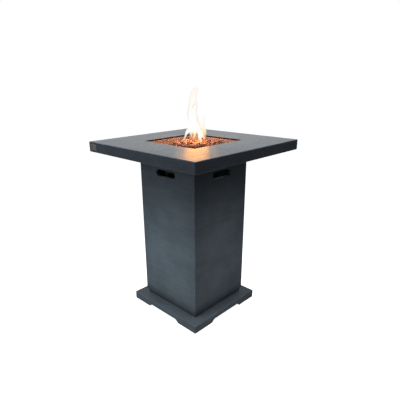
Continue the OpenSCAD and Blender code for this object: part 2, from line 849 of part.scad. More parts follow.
// Frame of the gas valve: x runs into the column from its outer face
module valve_frame() {
    translate([-col_w/2, 0, knob_z]) children();
}

module along_x(x0, x1, r) {
    translate([x0, 0, 0]) rotate([0, 90, 0]) cylinder(r = r, h = x1 - x0);
}

module gas_inlet() {
    color(BRASS) valve_frame() translate([x_port, block_w/2, 0]) rotate([-90, 0, 0]) difference() {
        union() {
            cylinder(r = inlet_r + 2.5, h = inlet_hex, $fn = 6);
            cylinder(r = inlet_r, h = inlet_hex + inlet_l);
        }
        translate([0, 0, -EPS]) cylinder(r = inlet_r/2, h = inlet_hex + inlet_l + 2*EPS);
    }
}

module valve_screw_places() {
    for (s = [-1, 1]) {
        valve_frame() translate([-panel_t, s*bonnet_screw, 0]) rotate([0, -90, 0]) children();
    }
}

module valve_body() {
    color(BRASS) difference() {
        valve_frame() union() {
            along_x(x_boss, x_block0 + EPS, boss_r);
            along_x(x_boss, x_boss + 6, bonnet_r);
            translate([x_block0, -block_w/2, -block_h/2]) cube([x_block1 - x_block0, block_w, block_h]);
            translate([x_port, 0, block_h/2 - EPS]) cylinder(r = stub_r, h = outlet_l + EPS);
            translate([x_port, -block_w/2 + EPS, 0]) rotate([90, 0, 0])
                cylinder(r = couple_stub_r, h = couple_stub + EPS);
        }
        valve_frame() {
            along_x(x_boss - EPS, x_neck, collar_r + run_clear);
            along_x(x_neck - EPS, x_plug + EPS, stem_r + run_clear);
            along_x(x_plug, x_block1 + EPS, plug_r + run_clear);
            translate([x_port, 0, 0]) cylinder(r = 3, h = block_h);
            translate([x_port, 0, 0]) rotate([-90, 0, 0]) cylinder(r = inlet_r/2, h = block_w);
        }
        valve_screw_places() fixing_hole(screw_r, panel_t + bonnet_t + 6 + EPS);
    }
}

module valve_bonnet() {
    color(ZINC) difference() {
        valve_frame() difference() {
            along_x(0, bonnet_t, bonnet_r);
            along_x(-EPS, bonnet_t + EPS, stem_r + run_clear);
        }
        valve_screw_places() fixing_hole(screw_r, panel_t + bonnet_t + EPS);
    }
}

module valve_cap() {
    color(BRASS) valve_frame() {
        along_x(x_block1 - cap_spigot, x_block1 + EPS, plug_r);
        translate([x_block1, 0, 0]) rotate([0, 90, 0]) cylinder(r = cap_r, h = cap_t, $fn = 6);
    }
}

module valve_screws() {
    color(ZINC) valve_screw_places()
        fixing(screw_r, panel_t + bonnet_t + 6, screw_head_r, screw_head_h);
}

// Rotor of the valve: a square socket for the stem and a cross port
module valve_plug() {
    color(BRASS) valve_frame() difference() {
        along_x(x_plug + plug_play, x_plug + plug_play + plug_l, plug_r);
        translate([x_plug, -stem_key/2 - key_play, -stem_key/2 - key_play])
            cube([key_l + knob_press, stem_key + 2*key_play, stem_key + 2*key_play]);
        translate([x_port + 7, 0, 0]) rotate([90, 0, 0])
            cylinder(r = 2.5, h = 2*plug_r + 2*EPS, center = true);
    }
}

// Stem: a round shank with a collar, a flat for the knob and a square key
module valve_stem() {
    color(STEEL) valve_frame() difference() {
        union() {
            along_x(x_knob0 + knob_cap, x_key, stem_r);
            along_x(x_collar, x_collar + collar_t, collar_r);
            translate([x_key - EPS, -stem_key/2, -stem_key/2]) cube([key_l, stem_key, stem_key]);
        }
        translate([x_knob0, -stem_r, stem_r - 1.2]) cube([knob_l, 2*stem_r, stem_r]);
    }
}

// Return spring of the stem, as its outer sleeve
module stem_spring() {
    color(ZINC) valve_frame() difference() {
        along_x(x_collar + collar_t + 0.2, x_neck - 0.2, collar_r - 0.3);
        along_x(x_collar, x_neck, stem_r + 0.4);
    }
}

// Knob: a turned skirt, a raised grip and a groove that points to the setting
module control_knob() {
    color(DARK) valve_frame() difference() {
        union() {
            along_x(x_knob1 - 7, x_knob1, knob_r);
            along_x(x_knob1 - 9, x_knob1 - 6, knob_r - 2);
            intersection() {
                along_x(x_knob0, x_knob1, knob_r - 2);
                translate([x_knob0, -7, -knob_r]) cube([knob_l, 14, 2*knob_r]);
            }
        }
        difference() {
            along_x(x_knob0 + knob_cap - 0.3, x_knob1 + EPS, stem_r + run_clear);
            translate([x_knob0, -stem_r, stem_r - 1.2 + run_clear])
                cube([knob_l, 2*stem_r, stem_r]);
        }
        translate([x_knob0 - EPS, -0.8, 6]) cube([EPS + 1, 1.6, knob_r]);
    }
}

module igniter_frame() {
    translate([-col_w/2, 0, button_z]) children();
}

module control_panel() {
    color(STEEL) difference() {
        panel_frame() translate([-panel_t, 0, 0]) rotate([90, 0, 90]) linear_extrude(panel_t) difference() {
            union() {
                square([panel_w - 8, panel_h], center = true);
                square([panel_w, panel_h - 8], center = true);
                for (y = [-1, 1], z = [-1, 1]) {
                    translate([y*(panel_w/2 - 4), z*(panel_h/2 - 4)]) circle(4);
                }
            }
            translate([0, knob_rise]) circle(stem_r + 1);
            translate([0, -button_fall]) circle(igniter_r + hole_clear);
        }
        panel_screw_places() fixing_hole(screw_r, panel_t);
        valve_screw_places() fixing_hole(screw_r, panel_t);
    }
}

module panel_screws() {
    color(ZINC) panel_screw_places()
        fixing(screw_r, panel_t + screw_l - EPS, screw_head_r, screw_head_h);
}

// Igniter housing: a bezel in front, a barrel behind, bored for the button and the battery
module igniter_body() {
    color(DARK) igniter_frame() difference() {
        union() {
            along_x(-panel_t - bezel_t, -panel_t, bezel_r);
            along_x(-panel_t - EPS, igniter_l, igniter_r);
        }
        along_x(-panel_t - bezel_t - EPS, x_rim, button_r + run_clear);
        along_x(x_rim - plug_play, x_rim + x_rim_room, button_r + button_rim + run_clear);
        along_x(x_rim, igniter_l - battery_wall, battery_r + 0.2);
        blade_places() translate([-battery_wall, -3.1 - hole_clear, -0.4 - hole_clear])
            cube([battery_wall + EPS, 6.2 + 2*hole_clear, 0.8 + 2*hole_clear]);
    }
}

module igniter_nut() {
    color(DARK) igniter_frame() difference() {
        translate([0, 0, 0]) rotate([0, 90, 0]) cylinder(r = igniter_r + 6, h = nut_t, $fn = 6);
        along_x(-EPS, nut_t + EPS, igniter_r + hole_clear);
    }
}

module igniter_button() {
    color([0.15, 0.15, 0.16]) igniter_frame() {
        along_x(x_button0, x_rim + 0.5, button_r);
        along_x(x_rim, x_rim + rim_t, button_r + button_rim);
    }
}

// Return spring of the button, as its outer sleeve
module igniter_spring() {
    color(ZINC) igniter_frame() difference() {
        along_x(x_rim + rim_t + 0.2, x_battery0 - 0.2, 5.5);
        along_x(x_rim, x_battery0, 4.5);
    }
}

module igniter_battery() {
    color(BRASS) igniter_frame() along_x(x_battery0, x_battery1, battery_r);
}

module blade_places() {
    for (z = [-blade_at, blade_at]) {
        translate([igniter_l, 0, z]) children();
    }
}

module igniter_blades() {
    color(BRASS) igniter_frame() blade_places()
        translate([-battery_wall, -3.1, -0.4]) cube([battery_wall + blade_l, 6.2, 0.8]);
}

// Leads: the ends sit on the terminals, the points between follow from them by the leads' bow
x_blade = -col_w/2 + igniter_l + blade_l;
x_couple = -col_w/2 + x_port;
y_couple = -block_w/2 - couple_stub;
ignition_route = [
    [x_blade + lead_gap, 0, button_z + blade_at],
    [x_blade + lead_out, lead_out/3, button_z + blade_at],
    [x_blade + 5/3*lead_bow, lead_bow, button_z + 1.25*lead_bow],
    [x_blade + 2*lead_bow, 1.4*lead_bow, knob_z + bonnet_r],
    [pilot_x + lead_bow, 1.1*lead_bow, z_shield - 1.25*lead_bow],
    [pilot_x, pilot_y, z_shield + lead_rise],
    [pilot_x, pilot_y, z_pan_under - pilot_below - rod_tail - lead_out],
    [pilot_x, pilot_y, z_pan_under - pilot_below - rod_tail - lead_gap]
];
couple_route = [
    [x_couple, y_couple - couple_gap, knob_z],
    [x_couple, y_couple - lead_out, knob_z],
    [x_couple + lead_bow/4, y_couple - 1.2*lead_bow, knob_z + 1.1*lead_bow],
    [x_couple + 0.85*lead_bow, y_couple - 1.1*lead_bow, z_shield - 1.9*lead_bow],
    [pilot_x - lead_bow/6, -1.1*lead_bow, z_shield - 0.75*lead_bow],
    [pilot_x, -pilot_y, z_shield + lead_rise],
    [pilot_x, -pilot_y, z_pan_under - pilot_below - lead_out],
    [pilot_x, -pilot_y, z_pan_under - pilot_below - lead_gap]
];

module ignition_lead() {
    color([0.6, 0.1, 0.08]) swept(route(ignition_route, 5), lead_r);
}

module thermocouple_lead() {
    color(COPPER) swept(route(couple_route, 5), lead_r);
}

// Door: one folded sheet, open at the back, flush with the column
module door_panel() {
    w = door_w - 2*door_gap;
    h = door_h - 2*door_gap;
    color(CONCRETE) difference() {
        translate([-w/2, col_w/2 - door_t, door_z0 + door_gap]) difference() {
            cube([w, door_t, h]);
            translate([door_skin, -EPS, door_skin])
                cube([w - 2*door_skin, door_t - door_skin + EPS, h - 2*door_skin]);
        }
        hinge_screw_places(1) fixing_hole(screw_r, leaf_t + door_skin + EPS);
        pull_place() cylinder(r = screw_r + hole_clear, h = 2*door_t, center = true);
    }
}

module pull_place() {
    translate([pull_x, col_w/2, pull_z]) rotate([-90, 0, 0]) children();
}

// Turned pull: a neck and a wider head
module door_pull() {
    color(STEEL) pull_place() difference() {
        union() {
            cylinder(r = 0.55*pull_r, h = pull_l/2 + EPS);
            translate([0, 0, pull_l/2]) cylinder(r1 = 0.8*pull_r, r2 = pull_r, h = pull_l/4);
            translate([0, 0, 0.75*pull_l]) cylinder(r = pull_r, h = pull_l/4);
        }
        translate([0, 0, -EPS]) cylinder(r = screw_r + hole_clear, h = pull_l/2 + EPS);
    }
}

module pull_screw() {
    color(ZINC) pull_place() translate([0, 0, -door_skin]) mirror([0, 0, 1])
        fixing(screw_r, door_skin + pull_l/2 - EPS, screw_head_r, 2);
}

// Steel block behind the door's skin that the magnet holds
module door_strike() {
    color(STEEL) translate([door_w/2 - door_gap - door_skin - strike_w, col_w/2 - door_t, catch_z - catch_h/2])
        cube([strike_w, door_t - door_skin, catch_h]);
}

// Middle of a hinge
module hinge_places() {
    for (z = hinge_zs) {
        translate([hinge_x, hinge_y, z]) children();
    }
}

// A hinge leaf on one side of the pin: side is 1 on the door and -1 on the column
module hinge_leaf(side) {
    z0 = -hinge_l/2;
    pitch = knuckle_l + knuckle_gap;
    ks = side > 0 ? [1] : [0, 2];
    face = -barrel_r - leaf_lift;
    difference() {
        union() {
            translate([side > 0 ? barrel_r + leaf_lift : -leaf_w, face, z0])
                cube([leaf_w - barrel_r - leaf_lift, leaf_t, hinge_l]);
            for (k = ks) {
                translate([0, 0, z0 + k*pitch]) {
                    cylinder(r = barrel_r, h = knuckle_l);
                    translate([side > 0 ? 0 : -barrel_r - 2*leaf_lift, face, 0])
                        cube([barrel_r + 2*leaf_lift, leaf_t, knuckle_l]);
                }
            }
        }
        translate([0, 0, z0 - EPS]) cylinder(r = pin_r + pin_clear, h = hinge_l + 2*EPS);
    }
}

module hinge_leaves_door() {
    color(ZINC) difference() {
        hinge_places() hinge_leaf(1);
        hinge_screw_places(1) fixing_hole(screw_r, leaf_t);
    }
}

module hinge_leaves_column() {
    color(ZINC) difference() {
        hinge_places() hinge_leaf(-1);
        hinge_screw_places(-1) fixing_hole(screw_r, leaf_t);
    }
}

module door_hinge_screws() {
    color(ZINC) hinge_screw_places(1)
        fixing(screw_r, leaf_t + door_skin + 2, screw_head_r, screw_head_h);
}

module column_hinge_screws() {
    color(ZINC) hinge_screw_places(-1)
        fixing(screw_r, leaf_t + screw_l - EPS, screw_head_r, screw_head_h);
}

// Pins with a head that rests on the upper knuckle
module hinge_pins() {
    color(STEEL) hinge_places() {
        translate([0, 0, -hinge_l/2]) cylinder(r = pin_r, h = hinge_l + EPS);
        translate([0, 0, hinge_l/2]) cylinder(r = barrel_r - 0.5, h = 1.5);
    }
}

// Magnet holder on the inside of the door jamb, reaching behind the door's free edge
module magnet_catch() {
    x0 = door_w/2 - catch_reach;
    color(DARK) difference() {
        union() {
            translate([door_w/2, col_in/2 - catch_deep, catch_z - catch_h/2])
                cube([catch_foot, catch_deep, catch_h]);
            translate([x0, col_in/2 - catch_deep, catch_z - catch_h/2])
                cube([catch_reach + EPS, catch_deep + col_wall - door_t - catch_gap, catch_h]);
        }
        translate([door_w/2, col_in/2 - EPS, catch_z - catch_h])
            cube([catch_foot + EPS, col_wall, 2*catch_h]);
        catch_screw_places() {
            fixing_hole(screw_r, catch_deep);
            cylinder(r = screw_head_r + 0.5, h = catch_deep);
        }
    }
}

module catch_screws() {
    color(ZINC) catch_screw_places()
        fixing(screw_r, catch_deep/2 + screw_l - EPS, screw_head_r, screw_head_h);
}

// Ring that takes the cylinder's foot, with four tabs on the plinth
module cylinder_ring() {
    color(ZINC) difference() {
        translate([0, 0, plinth_t]) difference() {
            union() {
                cylinder(r = seat_r + seat_wall, h = seat_h);
                for (a = [45, 135, 225, 315]) {
                    rotate([0, 0, a]) translate([seat_r, -15, 0]) cube([seat_wall + 26, 30, seat_wall]);
                }
            }
            translate([0, 0, -EPS]) cylinder(r = seat_r, h = seat_h + 2*EPS);
        }
        ring_bolt_places() fixing_hole(bolt_r, seat_wall);
    }
}

module ring_bolts() {
    color(ZINC) ring_bolt_places()
        fixing(bolt_r, seat_wall + 2*bolt_bite, bolt_head_r, bolt_head_h);
}

tabletop();
column();
plinth();
foot_pads();
base_brackets();
base_bolts();
top_brackets();
top_bolts();
burner_pan();
pan_screws();
burner_ring();
burner_locknut();
air_mixer();
lava_rocks();
pilot_bracket();
electrode_insulator();
electrode_rod();
thermocouple();
heat_shield();
shield_screws();
gas_tube();
tube_nuts();
gas_inlet();
valve_body();
valve_bonnet();
valve_cap();
valve_screws();
valve_plug();
valve_stem();
stem_spring();
control_knob();
control_panel();
panel_screws();
igniter_body();
igniter_nut();
igniter_button();
igniter_spring();
igniter_battery();
igniter_blades();
ignition_lead();
thermocouple_lead();
door_panel();
door_pull();
pull_screw();
door_strike();
hinge_leaves_door();
door_hinge_screws();
hinge_leaves_column();
column_hinge_screws();
hinge_pins();
magnet_catch();
catch_screws();
cylinder_ring();
ring_bolts();
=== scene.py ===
# %% [markdown]
# # A bar-height fire table
# The table is a square top of dark glass-fibre concrete on a hollow square column and a stepped
# plinth. A steel pan with a gas burner and lava rock sits in the middle of the top. The shapes
# come from CAD as separate nodes that ride on moving bodies, and this script dresses them.

# %% Load the CAD frame
import math
import random
import bpy
from mathutils import Matrix, Vector


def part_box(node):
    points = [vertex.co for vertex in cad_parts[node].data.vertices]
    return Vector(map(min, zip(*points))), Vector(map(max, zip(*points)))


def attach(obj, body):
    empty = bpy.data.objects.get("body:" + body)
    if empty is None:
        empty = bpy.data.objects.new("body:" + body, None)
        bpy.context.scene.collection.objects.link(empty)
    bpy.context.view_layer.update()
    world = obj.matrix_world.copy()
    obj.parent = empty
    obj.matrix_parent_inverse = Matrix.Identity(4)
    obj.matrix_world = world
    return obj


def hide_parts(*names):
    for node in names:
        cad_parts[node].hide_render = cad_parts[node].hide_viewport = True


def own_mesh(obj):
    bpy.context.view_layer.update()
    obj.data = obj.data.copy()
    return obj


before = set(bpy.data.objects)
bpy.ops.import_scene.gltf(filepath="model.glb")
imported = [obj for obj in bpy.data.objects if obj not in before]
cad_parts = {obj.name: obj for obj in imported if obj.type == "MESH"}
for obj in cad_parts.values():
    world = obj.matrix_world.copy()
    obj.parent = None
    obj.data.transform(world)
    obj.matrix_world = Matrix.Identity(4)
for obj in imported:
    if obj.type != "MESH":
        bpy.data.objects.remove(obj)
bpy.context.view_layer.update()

# %% [markdown]
# Blender's operators act on whatever is selected, and the import leaves every node selected. So
# one small helper clears the selection and picks the object that the next operator works on.

# %% Pick one object
def pick(*objects):
    """Selects only these objects, and makes the first one active."""
    bpy.ops.object.select_all(action="DESELECT")
    for o in objects:
        o.select_set(True)
    bpy.context.view_layer.objects.active = objects[0]


def newest(name):
    """Names the object that an operator has just added."""
    o = bpy.context.view_layer.objects.active
    o.name = o.data.name = name
    return o


bpy.ops.object.select_all(action="DESELECT")
print("nothing is selected:", not bpy.context.selected_objects)

# %% [markdown]
# ## Camera
# The photograph was taken from about chest height, looking at one corner of the table. A camera
# was fitted to the edges of the top, column and plinth, which gave its place, its turn and its
# focal length in pixels. The picture was cropped off its middle, so the camera has a small shift.

# %% Place the camera
FRAME_PX = 400.0
FOCAL_PX = 370.7
AXIS_PX = (189.34, 216.33)          # where the lens axis meets the picture
EYE = Vector((1.4421, -1.4743, 1.3133))
LOOK = (45.103, 20.216, -0.600)     # azimuth, elevation and roll in degrees
SENSOR_MM = 36.0
NEAREST, FARTHEST = 0.05, 200       # what the camera can see, in metres
scene = bpy.context.scene

turn, tilt, roll = (math.radians(v) for v in LOOK)
back = Vector((math.sin(turn) * math.cos(tilt), -math.cos(turn) * math.cos(tilt), math.sin(tilt)))
right = Vector((math.cos(turn), math.sin(turn), 0))
up = back.cross(right)
right, up = right * math.cos(roll) + up * math.sin(roll), up * math.cos(roll) - right * math.sin(roll)

bpy.ops.object.camera_add()
camera = newest("camera")
camera.matrix_world = Matrix((
    (right.x, up.x, back.x, EYE.x),
    (right.y, up.y, back.y, EYE.y),
    (right.z, up.z, back.z, EYE.z),
    (0, 0, 0, 1),
))
camera.data.sensor_width = SENSOR_MM
camera.data.lens = SENSOR_MM * FOCAL_PX / FRAME_PX
camera.data.shift_x = (FRAME_PX / 2 - AXIS_PX[0]) / FRAME_PX
camera.data.shift_y = (AXIS_PX[1] - FRAME_PX / 2) / FRAME_PX
camera.data.clip_start, camera.data.clip_end = NEAREST, FARTHEST
scene.camera = camera
shift = [round(v, 4) for v in (camera.data.shift_x, camera.data.shift_y)]
print("lens mm:", round(camera.data.lens, 2), "shift:", shift)

# %% [markdown]
# ## Studio
# A product picture like this one has a white sweep and large soft lights. A picture of a studio
# could wrap the world, but a plain white is enough here. The world is white for what the camera
# and the reflections see, and dimmer as a light, so that the lamps can shape the faces.

# %% White world
SKY_LIGHT = 0.05
SKY_COLOUR = (0.93, 0.97, 1.0, 1)
WHITE = (1, 1, 1, 1)
scene.view_settings.view_transform = "Standard"
world = bpy.data.worlds.new("studio_world")
scene.world = world
world.use_nodes = True
tree = world.node_tree
tree.nodes.clear()


def seen_by_eye(tree):
    """A value that is 1 for rays of the camera, of reflections and through glass."""
    path = tree.nodes.new("ShaderNodeLightPath")
    total = path.outputs["Is Camera Ray"]
    for kind in ("Is Glossy Ray", "Is Transmission Ray"):
        add = tree.nodes.new("ShaderNodeMath")
        add.operation, add.use_clamp = "ADD", True
        tree.links.new(total, add.inputs[0])
        tree.links.new(path.outputs[kind], add.inputs[1])
        total = add.outputs[0]
    return total


lit = tree.nodes.new("ShaderNodeBackground")
lit.inputs["Color"].default_value = SKY_COLOUR
lit.inputs["Strength"].default_value = SKY_LIGHT
shown = tree.nodes.new("ShaderNodeBackground")
shown.inputs["Color"].default_value = WHITE
shown.inputs["Strength"].default_value = 1.0
either = tree.nodes.new("ShaderNodeMixShader")
tree.links.new(seen_by_eye(tree), either.inputs[0])
tree.links.new(lit.outputs[0], either.inputs[1])
tree.links.new(shown.outputs[0], either.inputs[2])
tree.links.new(either.outputs[0], tree.nodes.new("ShaderNodeOutputWorld").inputs["Surface"])
print("world light:", SKY_LIGHT)

# %% [markdown]
# A photographer's floor is a sheet of paper that curves up behind the table, so that no edge shows.
# Here it is a flat pale disc that adds its own white for the camera, most of it far away. So it
# fades into the sky, and close by it still takes the table's shadow.

# %% White floor
FLOOR_RADIUS = 60
FLOOR_GREY = (0.3, 0.3, 0.3, 1)
OWN_WHITE = ((0.6, 0.90), (3.0, 1.0))   # distance from the table in metres, the floor's own white
bpy.ops.mesh.primitive_circle_add(vertices=96, radius=FLOOR_RADIUS, fill_type="NGON", location=(0, 0, 0))
floor = newest("studio_floor")
floor_paint = bpy.data.materials.new("studio_floor_paint")
floor_paint.use_nodes = True
tree = floor_paint.node_tree
tree.nodes.clear()
matt = tree.nodes.new("ShaderNodeBsdfDiffuse")
matt.inputs["Color"].default_value = FLOOR_GREY
far = tree.nodes.new("ShaderNodeVectorMath")
far.operation = "LENGTH"
tree.links.new(tree.nodes.new("ShaderNodeTexCoord").outputs["Object"], far.inputs[0])
white = tree.nodes.new("ShaderNodeMapRange")
for key, value in zip(("From Min", "To Min", "From Max", "To Max"), OWN_WHITE[0] + OWN_WHITE[1]):
    white.inputs[key].default_value = value
tree.links.new(far.outputs["Value"], white.inputs["Value"])
shown = tree.nodes.new("ShaderNodeMath")
shown.operation = "MULTIPLY"
tree.links.new(white.outputs[0], shown.inputs[0])
tree.links.new(seen_by_eye(tree), shown.inputs[1])
own = tree.nodes.new("ShaderNodeEmission")
tree.links.new(shown.outputs[0], own.inputs["Strength"])
both = tree.nodes.new("ShaderNodeAddShader")
tree.links.new(matt.outputs[0], both.inputs[0])
tree.links.new(own.outputs[0], both.inputs[1])
tree.links.new(both.outputs[0], tree.nodes.new("ShaderNodeOutputMaterial").inputs["Surface"])
floor.data.materials.append(floor_paint)
print("floor radius m:", FLOOR_RADIUS)

# %% [markdown]
# The column is palest near its foot and dark under the top. So one softbox stands on each side of
# the table, a little lower than the top, and looks down at the floor beside the plinth through a
# grid that keeps its beam narrow. Two large lamps, one in front of the left face and one overhead,
# soften the shadows and light the top. Sun lamps would be simpler, but their shadows are hard.

# %% Soft lamps
def softbox(name, place, aim, size, watts, colour, spread=180):
    """A square area lamp that looks at a point. A narrow spread is a grid on the softbox."""
    bpy.ops.object.light_add(type="AREA", location=place)
    lamp = newest(name)
    lamp.rotation_mode = "QUATERNION"
    lamp.rotation_quaternion = (Vector(aim) - Vector(place)).to_track_quat("-Z", "Y")
    lamp.data.size = size
    lamp.data.energy = watts
    lamp.data.color = colour
    lamp.data.spread = math.radians(spread)
    lamp.visible_glossy = lamp.visible_camera = False


LAMP_REACH, LAMP_HEIGHT, LAMP_AIM = 0.9, 0.95, 0.37
LAMP_SIZE, LAMP_SPREAD = 0.5, 80
LAMPS = {                           # direction in degrees, watts and colour
    "lamp_left": (-90, 4.4, (0.88, 0.97, 1.0)),
    "lamp_right": (-4, 2.5, (0.97, 0.965, 0.985)),
    "lamp_back": (92, 2.6, (1, 1, 1)),
    "lamp_far_left": (184, 2.6, (1, 1, 1)),
}
LARGE_LAMPS = {                     # place, aim, size, watts and colour
    "lamp_fill": ((-0.9, -3.0, 1.3), (0, -0.3, 0.6), 2.0, 38, (0.90, 0.97, 1.0)),
    "lamp_above": ((0, 0, 3.2), (0, 0, 1.0), 2.4, 118, (0.90, 0.95, 1.0)),
}
for name, (degrees, watts, colour) in LAMPS.items():
    out = Vector((math.cos(math.radians(degrees)), math.sin(math.radians(degrees)), 0))
    place = out * LAMP_REACH + Vector((0, 0, LAMP_HEIGHT))
    softbox(name, place, out * LAMP_AIM, LAMP_SIZE, watts, colour, LAMP_SPREAD)
for name, recipe in LARGE_LAMPS.items():
    softbox(name, *recipe)

# %% [markdown]
# ## Finishes
# A finish is a small tree of nodes: a noise or cell pattern in the object's own metres, a ramp
# that turns it into colours, and a bump. The same few nodes come back in every finish, so they
# get short helpers here.

# %% Node helpers
OPENING_PLAY = 0.0045               # beside the pan's flange, and a little more
OPENING_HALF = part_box("burner_pan")[1].x + OPENING_PLAY
# Above this height the opening's sides carry scorch and painted shade.
SCORCH_AND_SHADE_ABOVE = 0.97                 # height in metres above which the flame browns the opening


def fill_ramp(node, stops):
    """Gives a ramp node its stops, each of them a position and a colour or a grey."""
    elements = node.color_ramp.elements
    while len(elements) < len(stops):
        elements.new(0.5)
    for e, (at, c) in zip(elements, stops):
        e.position = at
        e.color = (*c, 1) if hasattr(c, "__len__") else (c, c, c, 1)


class Finish:
    """A material with one Principled shader, and short ways to add pattern nodes to it."""

    def __init__(self, name, metallic=0.0, rough=0.5, specular=0.5):
        self.material = bpy.data.materials.new(name)
        self.material.use_nodes = True
        self.nodes, self.links = self.material.node_tree.nodes, self.material.node_tree.links
        self.shader = self.nodes["Principled BSDF"]
        self.shader.inputs["Metallic"].default_value = metallic
        self.shader.inputs["Roughness"].default_value = rough
        self.shader.inputs["Specular IOR Level"].default_value = specular
        self.place = self.nodes.new("ShaderNodeTexCoord").outputs["Object"]

    def feed(self, socket, v):
        """Links a socket to another node's output, or gives it a plain value."""
        if hasattr(v, "is_linked"):
            self.links.new(v, socket)
        else:
            socket.default_value = v

    def put(self, kind, inputs=(), **settings):
        """Adds a node, sets its properties, and fills its inputs with values or links."""
        node = self.nodes.new(kind)
        for k, v in settings.items():
            setattr(node, k, v)
        for k, v in dict(inputs).items():
            self.feed(node.inputs[k], v)
        return node

    def maths(self, how, a, b):
        """One sum of two values."""
        return self.put("ShaderNodeMath", {0: a, 1: b}, operation=how).outputs[0]

    def parts(self, vector):
        """The X, Y and Z of a vector."""
        return self.put("ShaderNodeSeparateXYZ", {0: vector}).outputs

    def unsigned_parts(self, vector):
        """The X, Y and Z of a vector without their signs."""
        return self.parts(self.put("ShaderNodeVectorMath", {0: vector}, operation="ABSOLUTE").outputs[0])

    def stretched(self, scale):
        """Object coordinates, squeezed along some axes, for streaks."""
        return self.put("ShaderNodeMapping", {"Vector": self.place, "Scale": scale}).outputs[0]

    def noise(self, scale, detail=3.0, rough=0.55, stretch=None):
        """Soft clouds, or streaks if they are stretched."""
        where = self.stretched(stretch) if stretch else self.place
        return self.put("ShaderNodeTexNoise", {
            "Vector": where, "Scale": scale, "Detail": detail, "Roughness": rough}).outputs[0]

    def cells(self, scale):
        """The distance from the middle of the nearest cell."""
        inputs = {"Vector": self.place, "Scale": scale}
        return self.put("ShaderNodeTexVoronoi", inputs, feature="F1").outputs["Distance"]

    def ramp(self, value, *stops):
        """Turns a value into colours or greys: stops are (position, colour)."""
        node = self.put("ShaderNodeValToRGB", {"Fac": value})
        fill_ramp(node, stops)
        return node.outputs["Color"]

    def rising(self, low, high):
        """A value that goes from 0 to 1 between two heights."""
        inputs = {"Value": self.parts(self.place)[2], "From Min": low, "From Max": high}
        return self.put("ShaderNodeMapRange", inputs).outputs[0]

    def steepest(self):
        """The largest part of the surface's normal: 1 on faces along an axis, less on arrises."""
        x, y, z = self.unsigned_parts(self.put("ShaderNodeNewGeometry").outputs["Normal"])
        return self.maths("MAXIMUM", self.maths("MAXIMUM", x, y), z)

    def facing_up(self):
        """1 on faces that look up and 0 on upright ones."""
        normal = self.put("ShaderNodeNewGeometry").outputs["Normal"]
        return self.ramp(self.parts(normal)[2], (0.6, 0.0), (0.9, 1.0))

    def near_fire(self):
        """1 inside the square opening of the top, where scorch and painted shade darken the concrete."""
        x, y, z = self.unsigned_parts(self.place)
        inside = self.maths("LESS_THAN", self.maths("MAXIMUM", x, y), OPENING_HALF)
        return self.maths("MULTIPLY", inside, self.maths("GREATER_THAN", z, SCORCH_AND_SHADE_ABOVE))

    def blend(self, how, amount, a, b):
        """Mixes two colours: inputs 0, 6 and 7 of the node are the amount and the colours."""
        inputs = {0: amount, 6: a, 7: b}
        return self.put("ShaderNodeMix", inputs, data_type="RGBA", blend_type=how).outputs[2]

    def bump(self, height, distance, strength, normal=None):
        """Dents the shading by a pattern, on top of an earlier bump if there is one."""
        inputs = {"Height": height, "Distance": distance, "Strength": strength}
        if normal:
            inputs["Normal"] = normal
        return self.put("ShaderNodeBump", inputs).outputs[0]

    def use(self, colour, rough, normal):
        """Links what was made to the shader, and hands out the material."""
        for name, v in (("Base Color", colour), ("Roughness", rough), ("Normal", normal)):
            if v is not None:
                self.links.new(v, self.shader.inputs[name])
        return self.material


print("finish helpers ready")

# %% [markdown]
# ### Concrete
# Glass-fibre concrete is cast in a mould. It has broad clouds of lighter and darker slate grey,
# faint streaks from the mould's brushed release coat, fine sandy grain, and a few pin holes from
# trapped air, with painted shade inside them. The level faces are sealed to a satin gloss, in which
# the top mirrors the fire. The upright faces are matt, and the plinth isn't sealed; painted shade
# darkens its faces that look up. Arrises are painted pale, partly as rubbed wear and partly as a
# painted highlight. They are the only places whose normal points along no axis, so the largest part
# of the normal finds them. The sides of the opening are painted in browns that are partly scorch
# from the flame and partly painted shade. Painted shade darkens the recess over the plinth, the foot
# of the column towards the plinth, and the plinth as a whole. A painted image could show all this
# too, but it would have seams at the arrises, and a pattern of nodes has none.

# %% Slate concrete
SLATE_DARK, SLATE_LIGHT = (0.044, 0.052, 0.060), (0.062, 0.073, 0.084)
# pale of the arrises: partly rubbed wear, partly a painted highlight
WEAR_AND_HIGHLIGHT_PALE = (0.105, 0.118, 0.132, 1)
# painted shade on the plinth's faces that look up
SHADED_PLINTH_TOP = (0.84, 0.84, 0.84, 1)
# Painted shade: the recess over the plinth and the foot of the column get darker towards the plinth.
FOOT_SHADE_FROM, FOOT_SHADE_TO = 0.049, 0.25  # heights in metres, over the plinth and up the column
FOOT_SHADE = ((0.0, 1.0), (0.004, 0.6), (0.098, 0.44), (0.22, 0.58), (0.34, 0.8), (0.58, 0.92), (1.0, 1.0))
SCORCH_AND_SHADE_FROM, SCORCH_AND_SHADE_TO = 0.987, 1.0 # heights in metres on the sides of the opening
# browns of the opening's sides: partly scorch, partly painted shade, near black at the top
SCORCH_AND_SHADE = ((0.25, (0.16, 0.095, 0.070)), (0.45, (0.013, 0.0065, 0.0045)))


